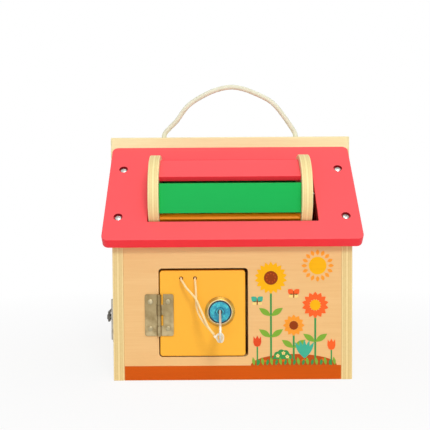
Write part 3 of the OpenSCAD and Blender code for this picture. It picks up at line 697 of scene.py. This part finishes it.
def lathe(profile, steps):
    """A closed turned shape from points of (radius, height), in millimetres, whose ends lie on the axis."""
    shape = bmesh.new()
    rings = []
    for radius, height in profile:
        angles = [math.tau * k / steps for k in range(steps if radius else 1)]
        rings.append([
            shape.verts.new((radius * MM * math.cos(angle), radius * MM * math.sin(angle), height * MM))
            for angle in angles
        ])
    for low, high in zip(rings, rings[1:]):
        for k in range(steps):
            round_trip = ((low, k), (low, k + 1), (high, k + 1), (high, k))
            corners = [ring[at % len(ring)] for ring, at in round_trip]
            shape.faces.new(list(dict.fromkeys(corners)))
    bmesh.ops.recalc_face_normals(shape, faces=shape.faces)
    return shape


def screw_head(name, head_d, head_t):
    """One screw head: the top of its dome is at the origin and it points along +Z."""
    radius = head_d / 2
    dome = [(radius * math.sin(math.radians(a)), -DOME * head_t * (1 - math.cos(math.radians(a))))
            for a in range(90, -1, -15)]
    profile = [(0, -head_t), (radius * FOOT, -head_t), (radius, -head_t * RIM_HEIGHT)] + dome
    head = shape_piece(name, lathe(profile, HEAD_STEPS), steel_metal)
    slots = bmesh.new()
    size = Matrix.Diagonal((head_d * SLOT_LENGTH * MM, head_d * SLOT_WIDTH * MM, head_t * SLOT_DEPTH * MM, 1))
    for turn in (0, 90):
        bmesh.ops.create_cube(slots, size=1, matrix=Matrix.Rotation(math.radians(turn), 4, "Z") @ size)
    cutter = shape_piece(name + "_slots", slots, steel_metal)
    modify(head, "slots", "BOOLEAN", object=cutter, solver="EXACT", use_self=True)
    bpy.data.objects.remove(cutter)
    for polygon in head.data.polygons:
        polygon.use_smooth = True
    head.data.set_sharp_from_angle(angle=SHARP)
    return head


big_head = screw_head("roof_screw_head", head_d=5.8, head_t=1.8)
small_head = screw_head("hinge_screw_head", head_d=4.4, head_t=1.0)
print("screw heads:", len(big_head.data.polygons), "faces each")

# %% Screw places
def loose_solids(node):
    """The points of each separate solid in a node."""
    shape = welded(node)
    groups = clusters(shape.verts, lambda vert: {edge.other_vert(vert) for edge in vert.link_edges})
    solids = [[vert.co.copy() for vert in group] for group in groups]
    shape.free()
    return solids


def head_tops(node, outward):
    """Middle of each screw's outer face, and the way that it faces. outward(middle) gives that way."""
    tops = []
    for points in loose_solids(node):
        middle = sum(points, Vector()) / len(points)
        way = outward(middle).normalized()
        reach = max(point.dot(way) for point in points)
        tops.append((middle + (reach - middle.dot(way)) * way, way))
    return sorted(tops, key=lambda top: tuple(round(value, 5) for value in top[0]))


ROOF_SLOPE = math.radians(44)


def off_the_roof(middle):
    return Vector((0, math.copysign(math.sin(ROOF_SLOPE), middle.y), math.cos(ROOF_SLOPE)))


def off_the_front(middle):
    return Vector((0, -1, 0))


def off_the_side(middle):
    return Vector((-1, 0, 0))


SCREW_NODES = [
    ("roof_screws", big_head, off_the_roof, steel_metal),
    ("front_hinge_wall_screws", small_head, off_the_front, screw_metal),
    ("front_hinge_door_screws", small_head, off_the_front, screw_metal),
    ("side_hinge_wall_screws", small_head, off_the_side, side_hinge_metal),
    ("side_hinge_door_screws", small_head, off_the_side, side_hinge_metal),
]
print("screws on the roof:", len(head_tops("roof_screws", off_the_roof)))

# %% Screw row nodes
QUARTER_TURN = math.tau / 4


def put_copies(tree, result, points, shape, rotation, finish):
    """Copies an object onto points, makes the copies real, coats them and puts them out."""
    source = place(tree, "GeometryNodeObjectInfo", {"Object": shape}).outputs["Geometry"]
    copies = place(tree, "GeometryNodeInstanceOnPoints",
                   {"Points": points, "Instance": source, "Rotation": rotation})
    solid = place(tree, "GeometryNodeRealizeInstances", {"Geometry": copies.outputs[0]})
    coated = place(tree, "GeometryNodeSetMaterial", {"Geometry": solid.outputs[0], "Material": finish})
    tree.links.new(coated.outputs[0], result.inputs[0])
    return tree


def run_nodes(piece, tree, values):
    """Runs a tree on a piece with its named inputs, and keeps the result as a plain mesh."""
    modifier = piece.modifiers.new(tree.name, "NODES")
    modifier.node_group = tree
    for item in tree.interface.items_tree:
        if item.in_out == "INPUT" and item.name in values:
            modifier[item.identifier] = values[item.name]
    return plain_mesh(piece)


def make_screw_row():
    tree, given, result = new_group(
        "Geometry", "Screw row",
        {"Geometry": GEOMETRY, "Head": OBJECT, "Seed": WHOLE, "Finish": FINISH},
        {"Geometry": GEOMETRY},
    )
    way = place(tree, "GeometryNodeInputNamedAttribute", {"Name": "outward"}, data_type="FLOAT_VECTOR")
    tilt = place(tree, "FunctionNodeAlignRotationToVector", {"Vector": way.outputs["Attribute"]}, axis="Z")
    chance = place(tree, "FunctionNodeRandomValue", {3: QUARTER_TURN, "Seed": given["Seed"]},
                   data_type="FLOAT")
    spin = place(tree, "FunctionNodeAxisAngleToRotation", {"Angle": chance.outputs[1]})
    turn = place(tree, "FunctionNodeRotateRotation",
                 {"Rotation": tilt.outputs[0], "Rotate By": spin.outputs[0]}, rotation_space="LOCAL")
    return put_copies(tree, result, given["Geometry"], given["Head"], turn.outputs[0], given["Finish"])


SCREW_ROW = make_screw_row()
for seed, (node, head, outward, finish) in enumerate(SCREW_NODES):
    tops = head_tops(node, outward)
    points = bpy.data.meshes.new("screws_" + node)
    points.from_pydata([top for top, way in tops], [], [])
    facing = points.attributes.new("outward", "FLOAT_VECTOR", "POINT")
    facing.data.foreach_set("vector", [value for top, way in tops for value in way])
    row = new_piece("screws_" + node, points, finish)
    run_nodes(row, SCREW_ROW, {"Head": head, "Seed": seed, "Finish": finish})
    stand_for(row, node)
    print(node, "has", len(tops), "screws,", len(row.data.polygons), "faces")
for head in (big_head, small_head):
    bpy.data.objects.remove(head)

# %% [markdown]
# ## Rope and string
# The handle is a soft cotton rope of three strands, pushed through two holes in the ridge board and knotted
# under it. The key string is the same thing at less than half the size. A rope could be three separate
# tubes wound round each other, but one tube whose radius swells and dips as the strands go round is
# lighter, closed, and looks the same. The routes are the frame's own, point by point.

# %% Cord helper
ROPE_ROUTE = [
    (-61, 0, 180), (-61, 0, 188), (-61, 0, 198), (-61, 0, 207), (-60, 0, 211.5), (-56, 0, 216),
    (-49, 0, 223), (-43, 0, 231.5), (-37, 0, 238), (-27, 0, 244.5), (-14, 0, 250.5), (0, 0, 253.5),
    (12, 0, 252), (24, 0, 247.5), (36, 0, 241.5), (43, 0, 235.5), (49, 0, 228), (56, 0, 218),
    (60, 0, 211.5), (61, 0, 207), (61, 0, 198), (61, 0, 188), (61, 0, 180),
]
STRING_ROUTE = [
    (-15.7, -103.6, 44.4), (-18, -103, 47.5), (-20.2, -101.5, 50.3), (-22, -99.5, 53.6),
    (-24.4, -95.5, 58.8), (-27, -91.5, 64), (-30.2, -88, 70.6), (-34, -85.5, 75), (-38, -83, 79),
    (-40.3, -81.2, 82.4), (-42.1, -79.6, 84.8), (-42.8, -77, 86), (-42.8, -74, 86), (-42.8, -70, 86),
    (-42.8, -66, 86), (-42, -62.8, 86), (-39.9, -60.6, 86), (-37, -59.9, 86), (-34.1, -60.6, 86),
    (-32, -62.8, 86), (-31.2, -66, 86), (-31.2, -70, 86), (-31.2, -74, 86), (-31.2, -77.2, 85.4),
    (-31, -79.2, 83.2), (-30.6, -80, 79), (-30.3, -82, 72.5), (-30, -85, 65.5), (-28.6, -88.5, 60),
    (-25.8, -93.5, 55.4), (-22.4, -97.6, 51.6), (-18.6, -100.2, 47.6), (-15.7, -100.9, 44.4),
]
LOOP_ROUTE = [
    (-13.6, -102.8, 43.6), (-11.9, -103.3, 44.8), (-10.6, -103.4, 45), (-9.3, -103.3, 44.8),
    (-8.5, -102.6, 43), (-8.4, -101.9, 41.5), (-8.6, -101.1, 39.7), (-9.4, -100.4, 38.1),
    (-10.7, -100.4, 38.2), (-12, -100.5, 38.3), (-12.9, -101.2, 40.1), (-13.9, -101.9, 41.8),
]


def smooth_route(route, step):
    """Points about one step apart on a smooth curve through the route, in metres."""
    p = [Vector(point) * MM for point in route]
    p = [p[0]] + p + [p[-1]]
    points = []
    for a, b, c, d in zip(p, p[1:], p[2:], p[3:]):
        count = max(1, round((c - b).length / step))
        for k in range(count):
            t = k / count
            points.append(0.5 * (2 * b + (c - a) * t + (2 * a - 5 * b + 4 * c - d) * t ** 2
                                 + (3 * b - a - 3 * c + d) * t ** 3))
    return points + [p[-1]]


def route_length(points):
    return sum((b - a).length for a, b in zip(points, points[1:]))


STRANDS, GROOVE, GROOVE_CURVE = 3, 0.07, 1.6
FIRST_SIDE = Vector((0.31, 0.87, 0.38))


def add_tube(shape, points, diameter, lay, sides):
    """Adds a closed tube along points. Its section has strands that turn once in each lay."""
    side = FIRST_SIDE
    rings, travelled = [], 0.0
    for i, point in enumerate(points):
        ahead = (points[min(i + 1, len(points) - 1)] - points[max(i - 1, 0)]).normalized()
        side = (side - side.dot(ahead) * ahead).normalized()
        across = ahead.cross(side)
        if i:
            travelled += (point - points[i - 1]).length
        ring = []
        for k in range(sides):
            angle = math.tau * k / sides
            strand = abs(math.cos(STRANDS / 2 * (angle - math.tau * travelled / lay)))
            radius = diameter / 2 * (1 - GROOVE * (1 - strand) ** GROOVE_CURVE)
            ring.append(shape.verts.new(point + radius * (math.cos(angle) * side + math.sin(angle) * across)))
        rings.append(ring)
    for low, high in zip(rings, rings[1:]):
        for k in range(sides):
            shape.faces.new((low[k], low[(k + 1) % sides], high[(k + 1) % sides], high[k]))
    shape.faces.new(rings[0][::-1])
    shape.faces.new(rings[-1])


def cord_piece(name, material, tubes):
    """One piece of twisted tubes, each given as its points, diameter, lay and number of sides."""
    shape = bmesh.new()
    for tube in tubes:
        add_tube(shape, *tube)
    bmesh.ops.recalc_face_normals(shape, faces=shape.faces)
    for face in shape.faces:
        face.smooth = len(face.verts) == 4
    return shape_piece(name, shape, material)


print("rope:", round(route_length(smooth_route(ROPE_ROUTE, MM)), 4), "m")
print("string:", round(route_length(smooth_route(STRING_ROUTE, MM)), 4), "m")

# %% Cotton
YARN_PER_M, STAINS_PER_M = 1800.0, 120.0
YARN_SHARE, STAIN_SHARE = 0.6, 0.4
COTTON_SPREAD = [(0.35, 0.0), (0.65, 1.0)]


def cotton(name, light, dark):
    """Undyed cotton yarn: soft, matt, with fine fibres and a little sheen."""
    material, tree, where = new_material(name, Roughness=0.9, Sheen_Weight=0.25)
    fibres = noise(tree, where["Object"], YARN_PER_M, 4.0)
    clouds = noise(tree, where["Object"], STAINS_PER_M, 2.0)
    share = maths(tree, "ADD", maths(tree, "MULTIPLY", fibres, YARN_SHARE),
                  maths(tree, "MULTIPLY", clouds, STAIN_SHARE))
    return dress(material, fibres, 0.05 * MM,
                 Base_Color=mixed(tree, ramp(tree, share, COTTON_SPREAD), dark, light))


rope_cotton = cotton("rope cotton", srgb(237, 237, 215), srgb(222, 218, 190))
string_cotton = cotton("string cotton", srgb(255, 232, 178), srgb(246, 210, 140))
# The loop and its knot hang low, where little light reaches them, so their cotton is painted paler than the
# string: painted light.
loop_cotton_painted_light = cotton("string end painted paler", srgb(255, 250, 232), srgb(252, 238, 208))
print("cotton: 3 materials")

# %% Rope handle
ROPE_D, ROPE_LAY, ROPE_STEP = 4.4 * MM, 15 * MM, 0.8 * MM
ROPE_SIDES, KNOT_SIDES = 24, 16
KNOT_STEPS, KNOT_OPENING, KNOT_SPREAD = 60, 0.25, 3.2
PULLED_ROPE = 0.85
rope_points = smooth_route(ROPE_ROUTE, ROPE_STEP)
rope = cord_piece("rope_twist", rope_cotton, [(rope_points, ROPE_D, ROPE_LAY, ROPE_SIDES)])
stand_for(rope, "rope_handle")


def knot_points(middle, size):
    """An overhand knot, which is three-cornered seen from below, open where the rope goes in and out."""
    points = []
    for k in range(KNOT_STEPS + 1):
        t = KNOT_OPENING + (math.tau - 2 * KNOT_OPENING) * k / KNOT_STEPS
        lie = Vector((math.sin(t) + 2 * math.sin(2 * t), math.cos(t) - 2 * math.cos(2 * t), -math.sin(3 * t)))
        points.append(middle + size * lie)
    return points


knots_low, knots_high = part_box("rope_knots")
knot_middle = (knots_low + knots_high) / 2
knot_r = (knots_high.z - knots_low.z) / 2
knot_size = (knot_r - ROPE_D / 2) / KNOT_SPREAD
knot_places = [Vector((x, knot_middle.y, knot_middle.z))
               for x in (knots_low.x + knot_r, knots_high.x - knot_r)]
rope_knots = cord_piece("rope_knots_tied", rope_cotton, [
    (knot_points(where, knot_size), ROPE_D * PULLED_ROPE, ROPE_LAY, KNOT_SIDES) for where in knot_places])
stand_for(rope_knots, "rope_knots")
print("rope handle:", len(rope.data.polygons), "faces")

# %% Key string
STRING_D, STRING_LAY, STRING_STEP = 1.8 * MM, 7 * MM, 0.4 * MM
STRING_SIDES, TIE_SIDES = 18, 14
KNOT_PLACE = Vector((-14.2, -102.3, 42.7)) * MM
KNOT_SIZE, PULLED_STRING = 0.4 * MM, 0.95
string_points = smooth_route(STRING_ROUTE, STRING_STEP)
string = cord_piece("key_string_twist", string_cotton, [(string_points, STRING_D, STRING_LAY, STRING_SIDES)])
loop = cord_piece("key_string_loop_twist", loop_cotton_painted_light, [
    (smooth_route(LOOP_ROUTE, STRING_STEP), STRING_D, STRING_LAY, STRING_SIDES),
    (knot_points(KNOT_PLACE, KNOT_SIZE), STRING_D * PULLED_STRING, STRING_LAY, TIE_SIDES)])
stand_for(loop, "key_string_loop")
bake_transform(string)
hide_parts("key_string")
print("key string:", len(string.data.polygons), "faces")

# %% [markdown]
# ## Printed front
# The front panel is printed: a plain band along the floor, and beside the door a flower bed with tall
# flowers, a sun and butterflies. It could be painted in the panel's shader, but small shapes are easier to
# lay out one by one. So each ink is a set of thin closed plates on the veneer, a twentieth of a millimetre
# a layer, with the grain showing through. What repeats, such as petals, rays and blades of grass, is one
# outline that Geometry Nodes copy in steps.

# %% Inks
INK_COLOURS = {
    "rust": srgb(211, 90, 8), "tomato": srgb(255, 104, 44), "gold": srgb(255, 186, 16),
    "cream": srgb(255, 222, 138), "brick": srgb(230, 78, 38), "chestnut": srgb(194, 82, 22),
    "umber": srgb(152, 62, 14), "amber": srgb(236, 104, 20), "leaf": srgb(62, 152, 80),
    "moss": srgb(132, 178, 60), "teal": srgb(70, 182, 152), "marigold": srgb(254, 160, 52),
}
GRAIN_SHADE, INK_CONTRAST, INK_GLOSS = 0.86, 0.6, 0.12


def ink(name, colour):
    """Printing ink, thin enough for the grain under it to show."""
    return solid_wood(name + " ink", "X", colour, darker(colour, GRAIN_SHADE), INK_CONTRAST, INK_GLOSS)


INKS = {name: ink(name, colour) for name, colour in INK_COLOURS.items()}
print("inks:", ", ".join(INKS))

# %% Repeat nodes
def make_repeats():
    """Copies a shape along a line. Each copy is one step further on, and turned a little more about Y."""
    tree, given, result = new_group(
        "Geometry", "Printed repeats",
        {"Geometry": GEOMETRY, "Shape": OBJECT, "Count": WHOLE, "Start": VECTOR, "Step": VECTOR,
         "Turn": NUMBER, "Finish": FINISH},
        {"Geometry": GEOMETRY},
    )
    line = place(tree, "GeometryNodeMeshLine", {"Count": given["Count"], "Start Location": given["Start"],
                                                "Offset": given["Step"]}, mode="OFFSET")
    number = tree.nodes.new("GeometryNodeInputIndex").outputs[0]
    angle = maths(tree, "MULTIPLY", number, given["Turn"])
    spin = place(tree, "FunctionNodeAxisAngleToRotation", {"Axis": (0, 1, 0), "Angle": angle})
    return put_copies(tree, result, line.outputs[0], given["Shape"], spin.outputs[0], given["Finish"])


REPEATS = make_repeats()
print("node tree:", REPEATS.name)

# %% Print helpers
PRINT_SINK = 0.05 * MM
LAYER = 0.05 * MM
TURN_LIFT = 0.002 * MM
ink_shapes = {name: bmesh.new() for name in INKS}


def plate(outline, layer):
    """The shape of a thin closed plate on the front panel, from an outline of (x, z) in millimetres."""
    shape = bmesh.new()
    front, back = [
        [shape.verts.new((x * MM, y, z * MM)) for x, z in outline]
        for y in (panel_low.y - LAYER * (layer + 1), panel_low.y + PRINT_SINK)
    ]
    shape.faces.new(front)
    shape.faces.new(back[::-1])
    for k in range(len(outline)):
        after = (k + 1) % len(outline)
        shape.faces.new((front[after], front[k], back[k], back[after]))
    bmesh.ops.recalc_face_normals(shape, faces=shape.faces)
    return shape


def printed(name, outline, layer, at=(0, 0), count=1, step=(0, 0), turn=0.0):
    """Prints an outline in one ink, once or as repeats. Higher layers and later turned copies lie on top."""
    shape = shape_piece("print_shape", plate(outline, layer), INKS[name])
    row = new_piece("print_row", bpy.data.meshes.new("print_row"), INKS[name])
    run_nodes(row, REPEATS, {"Shape": shape, "Count": count, "Start": (at[0] * MM, 0.0, at[1] * MM),
                             "Step": (step[0] * MM, -TURN_LIFT if turn else 0.0, step[1] * MM), "Turn": turn,
                             "Finish": INKS[name]})
    ink_shapes[name].from_mesh(row.data)
    for piece in (row, shape):
        bpy.data.objects.remove(piece)


def bar(x0, z0, x1, z1):
    return [(x0, z0), (x1, z0), (x1, z1), (x0, z1)]


def oval(rx, rz, start=0, end=360, steps=28):
    """An oval about the origin, or the part of it from one angle to another."""
    whole = end - start == 360
    angles = [math.radians(start + (end - start) * k / steps) for k in range(steps if whole else steps + 1)]
    return [(rx * math.cos(angle), rz * math.sin(angle)) for angle in angles]


def leaf(length, width, base=0.0, lean=0.0, steps=8):
    """A pointed leaf or petal. It starts at a distance from the origin and points up, or leans right."""
    rise = [(width / 2 * math.sin(math.pi * k / steps), base + length * k / steps) for k in range(steps + 1)]
    outline = rise + [(-x, z) for x, z in rise[-2:0:-1]]
    along, aside = math.cos(math.radians(lean)), math.sin(math.radians(lean))
    return [(x * along + z * aside, z * along - x * aside) for x, z in outline]


def mound(radius, bumps, depth):
    """A round bush with a bumpy outline, cut off straight at its foot."""
    return [(x * swell, z * swell) for x, z in oval(radius, radius, 0, 180, 96)
            for swell in [1 + depth * abs(math.sin(bumps / 2 * math.atan2(z, x)))]]


print("print helpers ready, on the plane y =", round(panel_low.y, 4))

# %% Band and flower bed
BED_LEFT, BED_RIGHT, BED_LOW, BED_RISE = 15.0, 87.0, 12.3, 9.5
BED_MIDDLE = ((BED_LEFT + BED_RIGHT) / 2, BED_LOW)
printed("rust", bar(-90.6, 0.4, 90.6, BED_LOW), 0)
printed("chestnut", oval((BED_RIGHT - BED_LEFT) / 2, BED_RISE, 0, 180, 48), 0, BED_MIDDLE)
printed("amber", oval(2.1, 1.1, steps=18), 1, (26.5, 16.0), 4, (16.4, 0.3))
printed("moss", leaf(7, 2.6, lean=-10), 4, (18, BED_LOW), 10, (7.5, 0))
printed("leaf", leaf(5.5, 2.4, lean=12), 5, (21, BED_LOW), 9, (7.5, 0))
print("flower bed:", BED_RIGHT - BED_LEFT, "mm wide")

# %% Tall flowers
STEM = 1.6


def tall_flower(x, top, petal_ink, petals, petal, eye_ink, eye, leaves):
    """A stem from the bed with pairs of leaves, and a ring of petals round an eye."""
    printed("leaf", bar(-STEM / 2, BED_LOW + BED_RISE / 2, STEM / 2, top), 1, (x, 0))
    for height in leaves:
        for lean in (-56, 56):
            printed("moss", leaf(12, 4.8, lean=lean), 2, (x, height))
    printed(petal_ink, petal, 3, (x, top), petals, turn=math.tau / petals)
    printed(eye_ink, oval(eye, eye), 4, (x, top))


tall_flower(32, 86, "gold", 18, leaf(9, 4.4, base=4.6), "umber", 5.8, (36, 54))
tall_flower(69, 63, "tomato", 14, leaf(7.4, 4.2, base=3.8), "gold", 4.4, (32,))
tall_flower(51, 46, "marigold", 12, leaf(6, 3.8, base=3), "umber", 3.7, (27,))
seed_dot = [(x, z + 3.6) for x, z in oval(0.6, 0.6, steps=10)]
printed("chestnut", seed_dot, 5, (32, 86), 9, turn=math.tau / 9)
print("tall flowers: 3")

# %% Low plants
TULIP = [(0, -5), (2.4, -4), (3.4, -1), (3.1, 4), (1.5, 1.8),
         (0, 4.6), (-1.5, 1.8), (-3.1, 4), (-3.4, -1), (-2.4, -4)]
for tulip_ink, tulip_x, tulip_z in (("brick", 20.5, 33), ("tomato", 82.5, 30)):
    printed("leaf", bar(-0.6, BED_LOW, 0.6, tulip_z), 1, (tulip_x, 0))
    printed(tulip_ink, TULIP, 3, (tulip_x, tulip_z))
printed("leaf", mound(7.4, 9, 0.12), 3, (41.5, 17.5))
for blossom in ((37.6, 20.4), (42.4, 22.6), (45.6, 19.6)):
    printed("cream", leaf(1.5, 1.3, base=0.2), 4, blossom, 5, turn=math.tau / 5)
printed("teal", leaf(16, 3.6, lean=-30), 3, (60, 18), 5, turn=math.radians(15))
print("low plants: 2 tulips, a bush and an agave")

# %% Sun and butterflies
SUN = (71, 96)
printed("marigold", leaf(5, 3, base=8.6), 0, SUN, 16, turn=math.tau / 16)
printed("gold", oval(7.4, 7.4), 1, SUN)
for wing_ink, butterfly in (("tomato", (51, 72)), ("teal", (20.5, 66))):
    for side in (-1, 1):
        printed(wing_ink, leaf(6.4, 4.8, lean=side * 48), 3, butterfly)
        printed("cream", leaf(4.6, 3.6, lean=side * 118), 3, butterfly)
    printed("umber", oval(0.55, 2.9, steps=16), 4, butterfly)
print("sun and 2 butterflies")

# %% Print pieces
for name, shape in ink_shapes.items():
    sheet = shape_piece("print_" + name, shape, INKS[name])
    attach(sheet, "house")
print("printed pieces:", len(ink_shapes))

# %% [markdown]
# ## Floor, light and background
# The house stands on a white sweep under soft light. The floor and the world are white to the camera, and
# to metal that mirrors them, but the floor still takes a share of real light, so the house keeps its
# shadow. The shadows of the key and of the eave show where the light came from: one soft lamp well above
# the camera and a little to its right. A low lamp on the left fills the shadows, and a weak one overhead
# lifts the ridge.

# %% Stage
FLOOR_HALF = 4.0
FLOOR_GLOW, SHADOW_REACH, GLOW_REACH = 0.86, 0.16, 0.5
AMBIENT = 0.4
LAMP_AIM = Vector((0, 0, 0.1))


def seen_directly(tree):
    """1 for what the camera sees itself, in a mirror or through glass, and 0 for light on other things."""
    rays = tree.nodes.new("ShaderNodeLightPath")
    return maths(tree, "MAXIMUM", maths(tree, "MAXIMUM", rays.outputs["Is Camera Ray"],
                                        rays.outputs["Is Glossy Ray"]), rays.outputs["Is Transmission Ray"])


def white_floor():
    """White that glows by itself away from the house, and takes a share of real light and shadow near it."""
    material, tree, where = new_material("white floor", Base_Color=(0.9, 0.9, 0.9, 1), Roughness=0.9,
                                         Specular_IOR_Level=0.0)
    matt = tree.nodes["Principled BSDF"].outputs[0]
    glow = place(tree, "ShaderNodeEmission", {"Color": (1, 1, 1, 1), "Strength": 1.0})
    distance = vectors(tree, "LENGTH", where["Object"])
    away = ramp(tree, distance, [(SHADOW_REACH, FLOOR_GLOW), (GLOW_REACH, 1.0)])
    share = maths(tree, "MULTIPLY", seen_directly(tree), away)
    blend = place(tree, "ShaderNodeMixShader", {0: share, 1: matt, 2: glow.outputs[0]})
    tree.links.new(blend.outputs[0], tree.nodes["Material Output"].inputs["Surface"])
    return material


floor_shape = bmesh.new()
bmesh.ops.create_grid(floor_shape, x_segments=8, y_segments=8, size=FLOOR_HALF)
floor = shape_piece("floor", floor_shape, white_floor())

world = bpy.data.worlds.new("studio")
world.use_nodes = True
bpy.context.scene.world = world
ambient = world.node_tree.nodes["Background"]
strength = place(world.node_tree, "ShaderNodeMapRange",
                 {"Value": seen_directly(world.node_tree), "To Min": AMBIENT, "To Max": 1.0})
world.node_tree.links.new(strength.outputs[0], ambient.inputs["Strength"])
ambient.inputs["Color"].default_value = (1, 1, 1, 1)


def soft_lamp(name, where, size, power):
    lamp = bpy.data.objects.new(name, bpy.data.lights.new(name, "AREA"))
    lamp.data.shape = "DISK"
    lamp.data.size = size
    lamp.data.energy = power
    lamp.location = where
    lamp.rotation_euler = (LAMP_AIM - Vector(where)).to_track_quat("-Z", "Y").to_euler()
    bpy.context.scene.collection.objects.link(lamp)


soft_lamp("main_lamp", (0.28, -1.5, 1.2), size=0.55, power=13.5)
soft_lamp("fill_lamp", (-0.3, -1.6, 0.06), size=0.8, power=5)
soft_lamp("top_lamp", (0.2, -0.6, 1.8), size=1.2, power=5.5)
bpy.context.scene.view_settings.view_transform = "Standard"
print("stage set")
